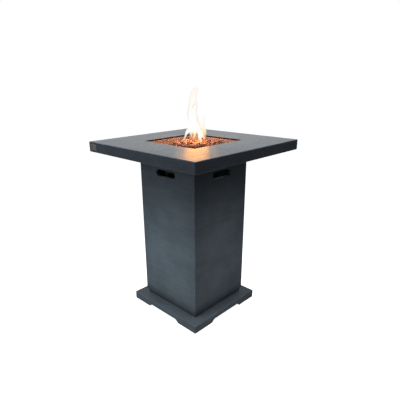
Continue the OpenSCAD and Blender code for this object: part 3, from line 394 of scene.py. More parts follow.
def slate_concrete(name, tone, rub, sealed):
    """Dark concrete: tone scales its grey, and rub is how pale its arrises are painted, as wear and as a
    highlight.
    """
    f = Finish(name, specular=0.05)
    dark, light = (tuple(c * tone for c in slate) for slate in (SLATE_DARK, SLATE_LIGHT))
    clouds = f.ramp(f.noise(5.0, 6, 0.62), (0.3, dark), (0.7, light))
    streaks = f.ramp(f.noise(7.0, 5, 0.6, (1, 1, 12)), (0.3, 0.9), (0.7, 1.06))
    grain = f.ramp(f.noise(420.0, 3, 0.6), (0.3, 0.86), (0.7, 1.12))
    # The pin holes are painted darker: painted shade inside them.
    hole = f.ramp(f.cells(95.0), (0.05, 0.0), (0.11, 1.0))
    thin = f.ramp(f.noise(38.0, 2), (0.54, 1.0), (0.6, 0.0))
    pits = f.blend("LIGHTEN", 1.0, hole, thin)
    colour = f.blend("MULTIPLY", 1.0, clouds, streaks)
    colour = f.blend("MULTIPLY", 1.0, colour, grain)
    colour = f.blend("MULTIPLY", 0.45, colour, pits)
    # Arrises painted pale: partly rubbed wear, partly a painted highlight.
    arris = f.ramp(f.steepest(), (0.9, 1.0), (0.985, 0.0))
    wear_and_highlight = f.blend("MULTIPLY", 1.0, arris, f.ramp(f.noise(30.0, 4), (0.35, rub / 7), (0.65, rub)))
    colour = f.blend("MIX", wear_and_highlight, colour, WEAR_AND_HIGHLIGHT_PALE)
    # painted shade in the recess over the plinth and at the column's foot
    colour = f.blend("MULTIPLY", 1.0, colour, f.ramp(f.rising(FOOT_SHADE_FROM, FOOT_SHADE_TO), *FOOT_SHADE))
    # scorch and painted shade on the sides of the opening
    colour = f.blend("MIX", f.near_fire(), colour, f.ramp(f.rising(SCORCH_AND_SHADE_FROM, SCORCH_AND_SHADE_TO), *SCORCH_AND_SHADE))
    rough = f.ramp(f.noise(24.0, 4), (0.25, 0.70), (0.75, 0.80))
    if sealed:
        polish = f.ramp(f.noise(24.0, 4), (0.25, 0.25), (0.75, 0.31))
        rough = f.blend("MIX", f.facing_up(), rough, polish)
    else:
        # Painted shade: the plinth's faces that look up are painted darker.
        colour = f.blend("MULTIPLY", f.facing_up(), colour, SHADED_PLINTH_TOP)
    normal = f.bump(pits, 0.0005, 0.15)
    normal = f.bump(f.noise(260.0, 4, 0.65), 0.0004, 0.06, normal)
    return f.use(colour, rough, normal)


concrete = slate_concrete("slate_concrete", 1.0, 0.7, True)
# The plinth's lower tone is painted shade.
plinth_concrete = slate_concrete("plinth_concrete", 0.76, 0.15, False)
print("made", concrete.name, "and", plinth_concrete.name)

# %% [markdown]
# ### Metals
# The pan is stainless steel that the flame has tinted brown and dulled with soot. The small parts
# are zinc-plated steel, copper, aluminium and brass that has gone dark with age. A brushed finish
# is a noise that is drawn out long in one direction, and it drives the roughness more than the
# colour. Scratches could be cut into the mesh instead, but no camera comes close enough for that.

# %% Steels and other metals
def brushed_metal(name, light, dark, grain, rough=(0.26, 0.44)):
    """Bare metal: grain is how far the brushing is drawn out along X, Y and Z."""
    f = Finish(name, metallic=1.0)
    tone = f.ramp(f.noise(14.0, 4), (0.3, dark), (0.7, light))
    lines = f.noise(60.0, 4, 0.7, grain)
    colour = f.blend("MULTIPLY", 0.5, tone, f.ramp(lines, (0.3, 0.8), (0.7, 1.0)))
    return f.use(colour, f.ramp(lines, (0.3, rough[0]), (0.7, rough[1])), f.bump(lines, 0.0001, 0.25))


def fire_tinted_steel():
    """The steel of the pan, the burner and what stands beside them."""
    f = Finish("fire_tinted_steel", metallic=0.15, specular=0.08)
    browns = ((0.28, (0.098, 0.07, 0.067)), (0.5, (0.125, 0.094, 0.092)), (0.72, (0.155, 0.125, 0.122)))
    tint = f.ramp(f.noise(16.0, 5, 0.6), *browns)
    soot = f.ramp(f.noise(22.0, 4, 0.6), (0.35, 0.84), (0.65, 1.0))
    colour = f.blend("MULTIPLY", 0.8, tint, soot)
    rough = f.ramp(f.noise(40.0, 4), (0.3, 0.72), (0.7, 0.82))
    return f.use(colour, rough, f.bump(f.noise(180.0, 3), 0.0002, 0.05))


pan_steel = fire_tinted_steel()
stainless = brushed_metal("brushed_stainless", (0.50, 0.49, 0.47), (0.36, 0.355, 0.345), (1, 1, 40))
zinc = brushed_metal("zinc_plate", (0.56, 0.57, 0.58), (0.40, 0.42, 0.44), (1, 1, 1), (0.32, 0.5))
brass = brushed_metal("aged_brass", (0.27, 0.19, 0.095), (0.17, 0.115, 0.055), (1, 1, 8), (0.34, 0.5))
copper = brushed_metal("drawn_copper", (0.66, 0.34, 0.2), (0.46, 0.22, 0.12), (1, 1, 8), (0.28, 0.45))
aluminium = brushed_metal("drawn_aluminium", (0.72, 0.72, 0.73), (0.6, 0.6, 0.61), (8, 1, 1), (0.28, 0.42))
plate_metal = brushed_metal(
    "anodised_plate", (0.084, 0.075, 0.074), (0.056, 0.051, 0.050), (1, 1, 12), (0.3, 0.42))
print("metals:", [m.name for m in (pan_steel, stainless, zinc, brass, copper, aluminium, plate_metal)])

# %% [markdown]
# ### Paint, plastic, rubber and ceramic
# The door is steel sheet with a textured powder coat in the concrete's colour. Knob and igniter
# are moulded plastic with a fine spark-eroded grain. All of these are one base colour with a
# little drift, a fine bump and some rubbing that changes the gloss, so one function makes them all.

# %% Coatings and mouldings
def moulded(name, colour, drift, grain_scale, grain_depth, rough, specular=0.4):
    """One colour that drifts a little, with a fine grain."""
    f = Finish(name, specular=specular)
    low, high = (tuple(c * k for c in colour) for k in (1 - drift, 1 + drift))
    tone = f.ramp(f.noise(30.0, 4), (0.3, low), (0.7, high))
    grain = f.noise(grain_scale, 3, 0.6)
    shade = f.blend("MULTIPLY", 0.5, tone, f.ramp(grain, (0.3, 0.8), (0.7, 1.05)))
    rub = f.ramp(f.noise(70.0, 4), (0.3, rough - 0.07), (0.7, rough + 0.07))
    return f.use(shade, rub, f.bump(grain, grain_depth, 0.4))


door_paint = moulded("door_powder_coat", (0.046, 0.054, 0.061), 0.12, 700.0, 0.0004, 0.5, 0.3)
black_plastic = moulded("black_moulding", (0.022, 0.022, 0.024), 0.15, 900.0, 0.0002, 0.45)
button_plastic = moulded("button_moulding", (0.05, 0.05, 0.055), 0.1, 900.0, 0.0001, 0.28, 0.5)
hinge_paint = moulded("hinge_black", (0.03, 0.03, 0.033), 0.15, 600.0, 0.0002, 0.42)
pad_rubber = moulded("pad_rubber", (0.02, 0.02, 0.02), 0.2, 500.0, 0.0003, 0.75, 0.25)
sleeve = moulded("lead_sleeve", (0.26, 0.03, 0.02), 0.15, 500.0, 0.0002, 0.5)
battery_case = moulded("battery_case", (0.09, 0.09, 0.1), 0.1, 300.0, 0.0001, 0.3, 0.5)
ceramic = moulded("fired_ceramic", (0.78, 0.74, 0.66), 0.06, 260.0, 0.0001, 0.22, 0.5)
print("coatings ready")

# %% [markdown]
# ### Lava rock
# Lava rock is rust red to dark brown and full of burst gas bubbles. The bubbles are the cells of
# a Voronoi pattern, pressed in as a bump, with painted shade inside them. Each stone carries its own
# tone in a mesh attribute, so neighbours differ as they do in a sack of real stones.

# %% Burnt lava
def burnt_lava():
    """Rust red stone with bubbles, in the tone that each stone carries."""
    f = Finish("burnt_lava", rough=0.8, specular=0.25)
    own = f.put("ShaderNodeAttribute", attribute_name="stone_tone").outputs["Fac"]
    reds = ((0.0, (0.036, 0.017, 0.014)), (0.45, (0.085, 0.036, 0.027)), (1.0, (0.17, 0.080, 0.058)))
    base = f.ramp(own, *reds)
    patch = f.ramp(f.noise(70.0, 5, 0.6), (0.3, 0.65), (0.7, 1.2))
    # painted shade inside the bubbles
    bubble = f.ramp(f.cells(260.0), (0.12, 0.5), (0.42, 1.0))
    colour = f.blend("MULTIPLY", 1.0, base, patch)
    colour = f.blend("MULTIPLY", 0.5, colour, bubble)
    normal = f.bump(bubble, 0.0016, 0.2)
    normal = f.bump(f.noise(500.0, 4, 0.7), 0.0006, 0.12, normal)
    return f.use(colour, None, normal)


lava = burnt_lava()
print("made", lava.name)

# %% [markdown]
# ## Dress the CAD nodes
# The CAD shapes are right, so most nodes keep their mesh and only change their finish. Each node
# arrives with the name of its material slot, and one table turns slots into finishes. A few nodes
# differ from others of their slot, so a second table names them.

# %% Finish for every node
FINISH_OF_SLOT = {
    "concrete": concrete, "pad_rubber": pad_rubber, "zinc_steel": zinc, "stainless": stainless,
    "hinge_steel": hinge_paint, "brass": brass, "copper": copper, "tube_aluminium": aluminium,
    "lava": lava, "insulator": ceramic, "black_plastic": black_plastic,
    "button_plastic": button_plastic, "battery_case": battery_case, "lead_sleeve": sleeve,
    "door_paint": door_paint,
}
FINISH_OF_NODE = {
    "burner_pan": pan_steel, "burner_ring": pan_steel, "pan_screws": pan_steel,
    "pilot_bracket": pan_steel, "plinth": plinth_concrete,
}
for name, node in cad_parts.items():
    slot = node.data.materials[0].name.split(".")[0]
    node.data.materials[0] = FINISH_OF_NODE.get(name, FINISH_OF_SLOT[slot])
print("dressed nodes:", len(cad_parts))

# %% [markdown]
# ## Plate and dial
# A thin blank plate is riveted to the edge of the top, near one corner. A cube could be pressed
# flat for it, but its corners are round. So it starts as a plane: the corners are bevelled, an
# extrude gives the thickness, and an inset that is pushed back leaves a raised rim. A rivet is half
# a ball, cut with bisect and pressed flat.

# %% Blank plate on the edge of the top
PLATE_W, PLATE_H, PLATE_T = 0.056, 0.035, 0.0008
PLATE_CORNER, PLATE_RIM = 0.003, 0.0018
PLATE_X, PLATE_Z = -0.3645, 0.973
RIM_RISE = 0.3                      # share of the thickness by which a rim stands up
RIVET_R, RIVET_IN = 0.002, 0.0055   # radius, and distance from the plate's end
RIVET_FLAT, RIVET_SEAT = 0.5, 0.6   # how flat it is pressed, and its seat in the plate's thickness
top_low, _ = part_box("tabletop")


def rounded_card(name, width, height, thickness, corner, rim=0.0):
    """A flat card with round corners, lying on the XY plane, with a raised rim if asked for."""
    bpy.ops.mesh.primitive_plane_add(size=1, location=(0, 0, 0))
    card = newest(name)
    bpy.ops.object.mode_set(mode="EDIT")
    bpy.ops.transform.resize(value=(width, height, 1))
    bpy.ops.mesh.bevel(offset=corner, segments=4, affect="VERTICES")
    bpy.ops.mesh.extrude_region_move(TRANSFORM_OT_translate={"value": (0, 0, thickness)})
    if rim:
        bpy.ops.mesh.inset(thickness=rim)
        bpy.ops.transform.translate(value=(0, 0, -RIM_RISE * thickness))
    bpy.ops.mesh.select_all(action="SELECT")
    bpy.ops.mesh.normals_make_consistent(inside=False)
    bpy.ops.object.mode_set(mode="OBJECT")
    return card


plate = rounded_card("blank_plate", PLATE_W, PLATE_H, PLATE_T, PLATE_CORNER, PLATE_RIM)
bpy.ops.mesh.primitive_uv_sphere_add(segments=20, ring_count=12, radius=RIVET_R, location=(0, 0, 0))
rivet = newest("plate_rivet")
bpy.ops.object.mode_set(mode="EDIT")
bpy.ops.mesh.bisect(plane_co=(0, 0, 0), plane_no=(0, 0, 1), clear_inner=True, use_fill=True)
bpy.ops.mesh.select_all(action="SELECT")
bpy.ops.transform.resize(value=(1, 1, RIVET_FLAT), center_override=(0, 0, 0))
bpy.ops.transform.translate(value=(PLATE_W / 2 - RIVET_IN, 0, RIVET_SEAT * PLATE_T))
bpy.ops.object.mode_set(mode="OBJECT")
bpy.ops.object.duplicate(linked=False)
far_rivet = newest("plate_far_rivet")
far_rivet.location.x = 2 * RIVET_IN - PLATE_W
pick(plate, rivet, far_rivet)
bpy.ops.object.join()
plate.rotation_euler = (math.pi / 2, 0, 0)
plate.location = (PLATE_X, top_low.y, PLATE_Z)
bpy.ops.object.transform_apply(location=True, rotation=True, scale=True)
bpy.ops.object.shade_smooth_by_angle(angle=math.radians(35))
plate.data.materials.append(plate_metal)
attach(plate, "table")
print("plate faces:", len(plate.data.polygons))

# %% [markdown]
# The control panel carries printed marks round the knob. The knob is off when its groove points
# up, and turns to the left through half a turn, from the large flame to the small one. The marks
# could be an image, but thin cards stay sharp: a square one at off, then bars that get shorter step
# by step. The groove of the knob is filled with white paint, which rides on the knob.

# %% Dial marks and pointer
panel_low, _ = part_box("control_panel")
knob_low, knob_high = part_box("control_knob")
KNOB_Z = (knob_low.z + knob_high.z) / 2
MARK_R, MARK_T, MARK_CORNER = 0.026, 0.00025, 0.0006
OFF_MARK = 0.0035                   # width and length of the square mark
BARS, BAR_W, BAR_LONG, BAR_STEP = 7, 0.0015, 0.0075, 0.0008
FIRST_BAR, LAST_BAR = 30, 180       # degrees from off
POINTER_W, POINTER_LONG, POINTER_T, POINTER_CORNER = 0.0014, 0.0132, 0.0006, 0.0004
POINTER_IN, POINTER_UP = 0.00095, 0.0129    # behind the knob's face and above its middle
shapes = [(OFF_MARK, OFF_MARK, 0)]  # width, length and degrees from off
for n in range(1, BARS + 1):
    degrees = FIRST_BAR + (LAST_BAR - FIRST_BAR) * (n - 1) / (BARS - 1)
    shapes.append((BAR_W, BAR_LONG - BAR_STEP * n, degrees))
marks = []
for n, (width, length, degrees) in enumerate(shapes):
    mark = rounded_card(f"dial_mark_{n}", width, length, MARK_T, MARK_CORNER)
    mark.data.transform(Matrix.Translation((0, MARK_R + length / 2, 0)))
    mark.data.transform(Matrix.Rotation(math.radians(degrees), 4, "Z"))
    marks.append(mark)
pick(*marks)
bpy.ops.object.join()
dial = newest("dial_marks")
facing_out = Matrix(((0, 0, -1, 0), (-1, 0, 0, 0), (0, 1, 0, 0), (0, 0, 0, 1)))
dial.data.transform(Matrix.Translation((panel_low.x, 0, KNOB_Z)) @ facing_out)
pointer = rounded_card("knob_pointer", POINTER_W, POINTER_LONG, POINTER_T, POINTER_CORNER)
pointer_x = knob_low.x + POINTER_IN
pointer.data.transform(Matrix.Translation((pointer_x, 0, KNOB_Z + POINTER_UP)) @ facing_out)
dial_ink = moulded("dial_ink", (0.03, 0.03, 0.032), 0.2, 800.0, 0.0001, 0.5, 0.3)
pointer_paint = moulded("pointer_paint", (0.72, 0.70, 0.66), 0.08, 800.0, 0.0001, 0.45, 0.4)
dial.data.materials.append(dial_ink)
pointer.data.materials.append(pointer_paint)
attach(dial, "table")
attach(pointer, "gas_knob")
print("dial marks:", len(marks), "pointer at:", round(pointer_x, 5))

# %% [markdown]
# ## Return springs
# Behind the panel, two small coil springs push the knob and the igniter button back out. In the
# CAD each is a plain sleeve of the spring's outer size. Here a small ring of points, the wire, is
# wound round the X axis by a Screw modifier, one turn too many, and bisect grinds both ends flat.

# %% Coil springs
WIRE_R = 0.0005
WIRE_SIDES, STEPS_PER_TURN = 10, 28
SPRINGS = {                         # sleeve in the CAD, joint that presses it, turns
    "stem_coil": ("stem_spring", "knob_press", 5),
    "button_coil": ("igniter_spring", "igniter_press", 6),
}


def coil_spring(name, low, high, turns):
    """A compression spring along X that fills a box from end to end."""
    pitch = (high.x - low.x) / turns
    middle = (low + high) / 2
    bpy.ops.mesh.primitive_circle_add(vertices=WIRE_SIDES, radius=WIRE_R, location=(0, 0, 0))
    spring = newest(name)
    bpy.ops.object.mode_set(mode="EDIT")
    bpy.ops.transform.translate(value=(low.x - pitch / 2, high.z - middle.z - WIRE_R, 0))
    bpy.ops.object.mode_set(mode="OBJECT")
    wind = spring.modifiers.new("wind", "SCREW")
    wind.axis, wind.angle, wind.screw_offset, wind.iterations = "X", 2 * math.pi, pitch, turns + 1
    wind.steps = wind.render_steps = STEPS_PER_TURN
    bpy.ops.object.modifier_apply(modifier=wind.name)
    bpy.ops.object.mode_set(mode="EDIT")
    for x, outwards in ((low.x, -1), (high.x, 1)):
        bpy.ops.mesh.select_all(action="SELECT")
        bpy.ops.mesh.bisect(plane_co=(x, 0, 0), plane_no=(outwards, 0, 0), clear_outer=True, use_fill=True)
    bpy.ops.mesh.select_all(action="SELECT")
    bpy.ops.mesh.normals_make_consistent(inside=False)
    bpy.ops.object.mode_set(mode="OBJECT")
    spring.location = (0, middle.y, middle.z)
    bpy.ops.object.transform_apply(location=True, rotation=True, scale=True)
    bpy.ops.object.shade_smooth_by_angle(angle=math.radians(40))
    return spring


for name, (sleeve_node, joint, turns) in SPRINGS.items():
    low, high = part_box(sleeve_node)
    spring = coil_spring(name, low, high, turns)
    spring.data.materials.append(zinc)
    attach(spring, "table")
    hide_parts(sleeve_node)
    length = high.x - low.x
    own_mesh(spring)

# %% [markdown]
# ## Lava rocks
# Lava rock comes as loose lumps, about as large as a walnut. Six of them are shaped from a ball: a
# cloudy noise pushes its surface about, and a cell pattern chips it. Each stone could be sculpted,
# but six shapes are enough, because every copy is turned and squeezed differently.

# %% Six stones to copy
STONE_KINDS = 6
LUMP_SIZE, LUMP_DEPTH, LUMP_LEVEL = 0.9, 0.75, 0.5
CHIP_SIZE, CHIP_DEPTH, CHIP_LEVEL = 0.45, 0.15, 0.35
PATTERN_FROM, PATTERN_STEP = (0.4, 0, 0), (3.7, 1.9, -2.3)  # moves the patterns from stone to stone
stones = []
for kind in range(STONE_KINDS):
    bpy.ops.mesh.primitive_ico_sphere_add(subdivisions=2, radius=1.0, location=(0, 0, 0))
    stone = newest(f"stone_{kind}")
    lumps = bpy.data.textures.new(f"stone_lumps_{kind}", "CLOUDS")
    lumps.noise_scale, lumps.noise_depth = LUMP_SIZE, 1
    chips = bpy.data.textures.new(f"stone_chips_{kind}", "VORONOI")
    chips.noise_scale = CHIP_SIZE
    bpy.ops.object.empty_add(location=[a + kind * b for a, b in zip(PATTERN_FROM, PATTERN_STEP)])
    pattern_place = bpy.context.view_layer.objects.active
    pick(stone)
    for texture, depth, level in ((lumps, LUMP_DEPTH, LUMP_LEVEL), (chips, CHIP_DEPTH, CHIP_LEVEL)):
        push = stone.modifiers.new("push", "DISPLACE")
        push.texture, push.strength, push.mid_level = texture, depth, level
        push.texture_coords, push.texture_coords_object = "OBJECT", pattern_place
        bpy.ops.object.modifier_apply(modifier=push.name)
    bpy.data.objects.remove(pattern_place)
    stones.append(stone)
print("stone shapes:", len(stones), "faces each:", len(stones[0].data.polygons))

# %% [markdown]
# The stones are heaped over the burner ring, and the side corners of the pan stay bare. Blender's
# physics could drop them, but a simulation is slow and hard to steer. So a loop stands in for it:
# each stone tries some random spots under an oval mound and takes the one where it comes to rest
# lowest. Small stones come last and fill the gaps.

# %% Drop the stones into the pan
pan_low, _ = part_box("burner_pan")
_, ring_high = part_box("burner_ring")
SHEET = 0.0015
WELL_HALF, WALL_GAP = 0.1645, 0.002 # half the width of the pan's well, and room at its walls
PAN_ROOM = WELL_HALF - WALL_GAP
PAN_FLOOR = pan_low.z + SHEET
RING_R, RING_TUBE = 0.080, 0.0095
RING_Z = ring_high.z - RING_TUBE
MOUND_MIDDLE = (0.022, -0.01)       # sideways and away from the camera, in metres
MOUND_OVAL = (0.8, 0.68)            # the smaller share is the longer way of the mound
MOUND_TOP, MOUND_FLAT = 0.999, 0.095    # height, and how far from its middle it is level
MOUND_SLOPE, MOUND_FALL = 0.03, 0.028   # farther out, a step and how far it falls in one
PILOT_X, PILOT_HALF, PILOT_PLAY = (-0.14, -0.094), 0.016, 0.6   # no stone stands on the pilot
LARGE_R, SMALL_R = (0.012, 0.022), (0.007, 0.011)
LARGE_TRIES, SMALL_TRIES, SMALL_LOWER = 700, 120, 0.006
SPOTS = 30                          # that each stone tries
SINK, NESTLE, CREST = 0.92, 0.93, 0.9   # shares of a radius: on the floor, on a stone, to the top
rng = random.Random(8)
heap = []                           # middle x, y, z and radius of each stone


def rests_at(x, y, r):
    """Height of a stone's middle when it touches the floor, the burner or a stone below."""
    z = PAN_FLOOR + r * SINK
    off = abs(math.hypot(x, y) - RING_R)
    if off < r + RING_TUBE:
        z = max(z, RING_Z + math.sqrt((r + RING_TUBE) ** 2 - off ** 2))
    if abs(y) < r + RING_TUBE and abs(x) < RING_R:
        z = max(z, RING_Z + math.sqrt((r + RING_TUBE) ** 2 - y ** 2))
    for sx, sy, sz, sr in heap:
        reach = NESTLE * (r + sr)
        d2 = (x - sx) ** 2 + (y - sy) ** 2
        if d2 < reach ** 2:
            z = max(z, sz + math.sqrt(reach ** 2 - d2))
    return z


def highest(x, y):
    """How high the heap may be: an oval mound over the burner that falls away to the walls."""
    sideways, deep = (x + y) * math.sqrt(0.5), (y - x) * math.sqrt(0.5)
    across = MOUND_OVAL[0] * (sideways - MOUND_MIDDLE[0])
    along = MOUND_OVAL[1] * (deep - MOUND_MIDDLE[1])
    slope = max(0.0, (math.hypot(across, along) - MOUND_FLAT) / MOUND_SLOPE)
    return MOUND_TOP - MOUND_FALL * slope


for n in range(LARGE_TRIES + SMALL_TRIES):
    large = n < LARGE_TRIES
    r = rng.uniform(*(LARGE_R if large else SMALL_R))
    spots = []
    for _ in range(SPOTS):
        x, y = (rng.uniform(-1, 1) * (PAN_ROOM - r) for _ in "xy")
        beside_pilot = PILOT_X[0] < x < PILOT_X[1] and abs(y) < PILOT_HALF + r * PILOT_PLAY
        z = rests_at(x, y, r)
        if not beside_pilot and z + CREST * r < highest(x, y) - (0 if large else SMALL_LOWER):
            spots.append((z, x, y))
    if spots:
        z, x, y = min(spots)
        heap.append((x, y, z, r))
print("stones in the pan:", len(heap), "top at:", round(max(z + r for _, _, z, r in heap), 4))

# %% [markdown]
# Every place gets a copy of one of the six shapes, turned, squeezed and with a tone of its own. The
# copies could stay separate, but one joined piece takes the place of the CAD's single lumpy solid
# and rides on the table.

# %% Copy a stone to every place
SQUEEZE = ((0.85, 1.15), (0.8, 1.05), (0.75, 0.95))     # least and most along X, Y and Z
FULL_TURN = 6.28


def stone_copy(n, place, r):
    """A copy of one of the six stones, of the given radius."""
    mesh = stones[n % STONE_KINDS].data.copy()
    squeeze = Matrix.Diagonal((*(rng.uniform(*limits) for limits in SQUEEZE), 1))
    spin_z, spin_x = (Matrix.Rotation(rng.uniform(0, FULL_TURN), 4, axis) for axis in "ZX")
    mesh.transform(Matrix.Translation(place) @ (spin_z @ spin_x) @ squeeze @ Matrix.Scale(r, 4))
    tone = mesh.attributes.new("stone_tone", "FLOAT", "POINT")
    tone.data.foreach_set("value", [rng.random()] * len(mesh.vertices))
    copy = bpy.data.objects.new(f"stone_copy_{n}", mesh)
    scene.collection.objects.link(copy)
    return copy


copies = [stone_copy(n, (x, y, z), r) for n, (x, y, z, r) in enumerate(heap)]
pick(*copies)
bpy.ops.object.join()
rocks = newest("lava_rock_heap")
bpy.ops.object.shade_smooth_by_angle(angle=math.radians(38))
for stone in stones:
    bpy.data.objects.remove(stone)
rocks.data.materials.clear()
rocks.data.materials.append(lava)
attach(rocks, "table")
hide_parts("lava_rocks")
print("rock heap triangles:", sum(len(p.vertices) - 2 for p in rocks.data.polygons))

# %% [markdown]
# ## Flame
# The photograph shows the burner alight. A flame isn't a part of the table, so it stands on the
# stage with the floor and the lamps. It is a gas that glows and hides a little of what is behind
# it. A painted card could show it from one side, but a volume has no side: by itself it is thick in
# the middle and clear at the edge. The gas is orange where it leaves the rocks, white hot above
# them and pale at the tip, so its colour follows the height.

# %% Burning gas
FLAME_FOOT, FLAME_TIP = 0.980, 1.285
FLAME_RISE = FLAME_TIP - FLAME_FOOT
GAS_GLOW = 1.03                     # glow for each part of what the gas hides
WHITE_HOT = ((1.045, (1.0, 1.0, 0.97)), (1.140, (1.0, 1.0, 0.98)), (1.170, (1.0, 0.975, 0.90)),
             (1.235, (1.0, 0.95, 0.86)), (1.270, (1.0, 0.88, 0.78)))
GASES = {                           # thickness per metre, then (height in metres, colour)
    "dense": (220, WHITE_HOT),
    "thin": (75, WHITE_HOT),
    "left": (450, ((0.990, (0.85, 0.33, 0.18)), (1.000, (0.9, 0.42, 0.23)), (1.008, (0.96, 0.58, 0.36)),
                   (1.016, (1.0, 0.76, 0.54)), (1.026, (1.0, 0.89, 0.74)), (1.045, (1.0, 0.98, 0.91)))),
    "middle": (350, ((1.004, (0.93, 0.42, 0.20)), (1.014, (0.95, 0.55, 0.28)), (1.022, (1.0, 0.74, 0.44)),
                     (1.030, (1.0, 0.90, 0.60)), (1.050, (1.0, 0.94, 0.76)), (1.060, (1.0, 1.0, 0.95)))),
    "right": (350, ((0.984, (0.93, 0.42, 0.24)), (0.991, (0.96, 0.54, 0.26)), (0.999, (1.0, 0.87, 0.47)),
                    (1.007, (1.0, 0.91, 0.62)), (1.020, (1.0, 0.96, 0.80)), (1.040, (1.0, 0.99, 0.92)))),
    "wisp": (170, ((1.006, (0.82, 0.36, 0.20)), (1.020, (0.90, 0.52, 0.28)), (1.036, (0.98, 0.74, 0.42)),
                  (1.050, (1.0, 0.87, 0.55)), (1.072, (1.0, 0.92, 0.72)))),
    "yellow": (90, ((1.030, (1.0, 0.80, 0.50)), (1.045, (1.0, 0.92, 0.68)), (1.070, (1.0, 1.0, 0.95)))),
    "ember": (45, ((1.000, (0.92, 0.36, 0.18)), (1.016, (0.86, 0.38, 0.19)), (1.028, (0.82, 0.45, 0.23)),
                   (1.040, (0.98, 0.74, 0.48)), (1.052, (1.0, 0.92, 0.78)))),
    "cream": (45, ((1.060, (0.90, 0.76, 0.52)), (1.110, (0.93, 0.86, 0.66)), (1.150, (0.96, 0.92, 0.80)))),
    "pink": (60, ((1.030, (1.0, 0.78, 0.50)), (1.060, (1.0, 0.88, 0.74)), (1.085, (1.0, 0.95, 0.92)),
                  (1.120, (1.0, 0.98, 0.97)))),
    "edge": (40, ((1.050, (0.46, 0.40, 0.38)), (1.190, (0.46, 0.38, 0.34)), (1.240, (0.46, 0.33, 0.25)))),
    "flick": (150, ((1.160, (0.52, 0.38, 0.27)), (1.200, (0.46, 0.32, 0.24)))),
}


def burning_gas(name, thickness, colours):
    """A volume that glows and veils, in colours that follow its height."""
    gas = bpy.data.materials.new("flame_gas_" + name)
    gas.use_nodes = True
    tree = gas.node_tree
    tree.nodes.clear()
    where = tree.nodes.new("ShaderNodeSeparateXYZ")
    tree.links.new(tree.nodes.new("ShaderNodeTexCoord").outputs["Object"], where.inputs[0])
    rise = tree.nodes.new("ShaderNodeMapRange")
    rise.inputs["From Min"].default_value, rise.inputs["From Max"].default_value = FLAME_FOOT, FLAME_TIP
    tree.links.new(where.outputs["Z"], rise.inputs["Value"])
    tint = tree.nodes.new("ShaderNodeValToRGB")
    fill_ramp(tint, [((height - FLAME_FOOT) / FLAME_RISE, colour) for height, colour in colours])
    tree.links.new(rise.outputs[0], tint.inputs["Fac"])
    glow = tree.nodes.new("ShaderNodeEmission")
    tree.links.new(tint.outputs["Color"], glow.inputs["Color"])
    glow.inputs["Strength"].default_value = GAS_GLOW * thickness
    veil = tree.nodes.new("ShaderNodeVolumeAbsorption")
    veil.inputs["Color"].default_value = (0, 0, 0, 1)
    veil.inputs["Density"].default_value = thickness
    both = tree.nodes.new("ShaderNodeAddShader")
    tree.links.new(glow.outputs[0], both.inputs[0])
    tree.links.new(veil.outputs[0], both.inputs[1])
    tree.links.new(both.outputs[0], tree.nodes.new("ShaderNodeOutputMaterial").inputs["Volume"])
    return gas


gases = {name: burning_gas(name, *recipe) for name, recipe in GASES.items()}
print("flame gases:", list(gases))

# %% [markdown]
# Each tongue of flame is a ring of points that is drawn upwards, extruded and resized from station
# to station, and then smoothed by a subdivision. A gas simulation could make a flame too, but its
# shape can't be set by hand. A thin coat of cooler gas round the tall tongues draws the faint
# outline that a flame has before a white wall.

# %% Tongues of flame
TONGUE_SIDES = 14
COAT_FLAT, COAT_WIDER = 0.6, 1.5        # depth as a share of the width, millimetres added each side
HOLLOW_WIDE, HOLLOW_FLAT = 0.87, 0.672  # share of the coat's width, depth as a share of its own


def flame_tongue(name, gas, stations, depth=0.0, flat=0.6, wider=0.0):
    """Stations are (height, sideways, half width) in millimetres, from the root to the tip."""
    mm = 0.001
    (z, u, w), rest = stations[0], stations[1:]
    bpy.ops.mesh.primitive_circle_add(
        vertices=TONGUE_SIDES, radius=1, fill_type="NGON", location=(0, 0, 0))
    tongue = newest(name)
    bpy.ops.object.mode_set(mode="EDIT")
    size = (w + wider) * mm
    bpy.ops.transform.resize(value=(size, flat * size, 1), center_override=(0, 0, 0))
    bpy.ops.transform.translate(value=(u * mm, depth * mm, z * mm))
    for z2, u2, w2 in rest:
        step = ((u2 - u) * mm, 0, (z2 - z) * mm)
        bpy.ops.mesh.extrude_region_move(TRANSFORM_OT_translate={"value": step})
        grow = (w2 + wider) / (w + wider)
        bpy.ops.transform.resize(value=(grow, grow, 1), center_override=(u2 * mm, depth * mm, z2 * mm))
        z, u, w = z2, u2, w2
    bpy.ops.mesh.select_all(action="SELECT")
    bpy.ops.mesh.normals_make_consistent(inside=False)
    bpy.ops.object.mode_set(mode="OBJECT")
    tongue.rotation_euler = (0, 0, turn)
    bpy.ops.object.transform_apply(location=True, rotation=True, scale=True)
    smooth = tongue.modifiers.new("smooth", "SUBSURF")
    smooth.levels = smooth.render_levels = 2
    bpy.ops.object.modifier_apply(modifier=smooth.name)
    tongue.data.materials.append(gases[gas])
    tongue.visible_shadow = tongue.visible_diffuse = tongue.visible_glossy = False
    return tongue


def flame_edge(name, stations, depth):
    """A thin coat of cooler gas: a tongue with a hollow that nearly fills it from front to back."""
    coat = flame_tongue(name, "edge", stations, depth, COAT_FLAT, COAT_WIDER)
    inner = [(z, u, HOLLOW_WIDE * (w + COAT_WIDER)) for z, u, w in stations]
    hollow = flame_tongue(name + "_hollow", "edge", inner, depth, HOLLOW_FLAT)
    bpy.ops.object.mode_set(mode="EDIT")
    bpy.ops.mesh.select_all(action="SELECT")
    bpy.ops.mesh.flip_normals()
    bpy.ops.object.mode_set(mode="OBJECT")
    pick(coat, hollow)
    bpy.ops.object.join()


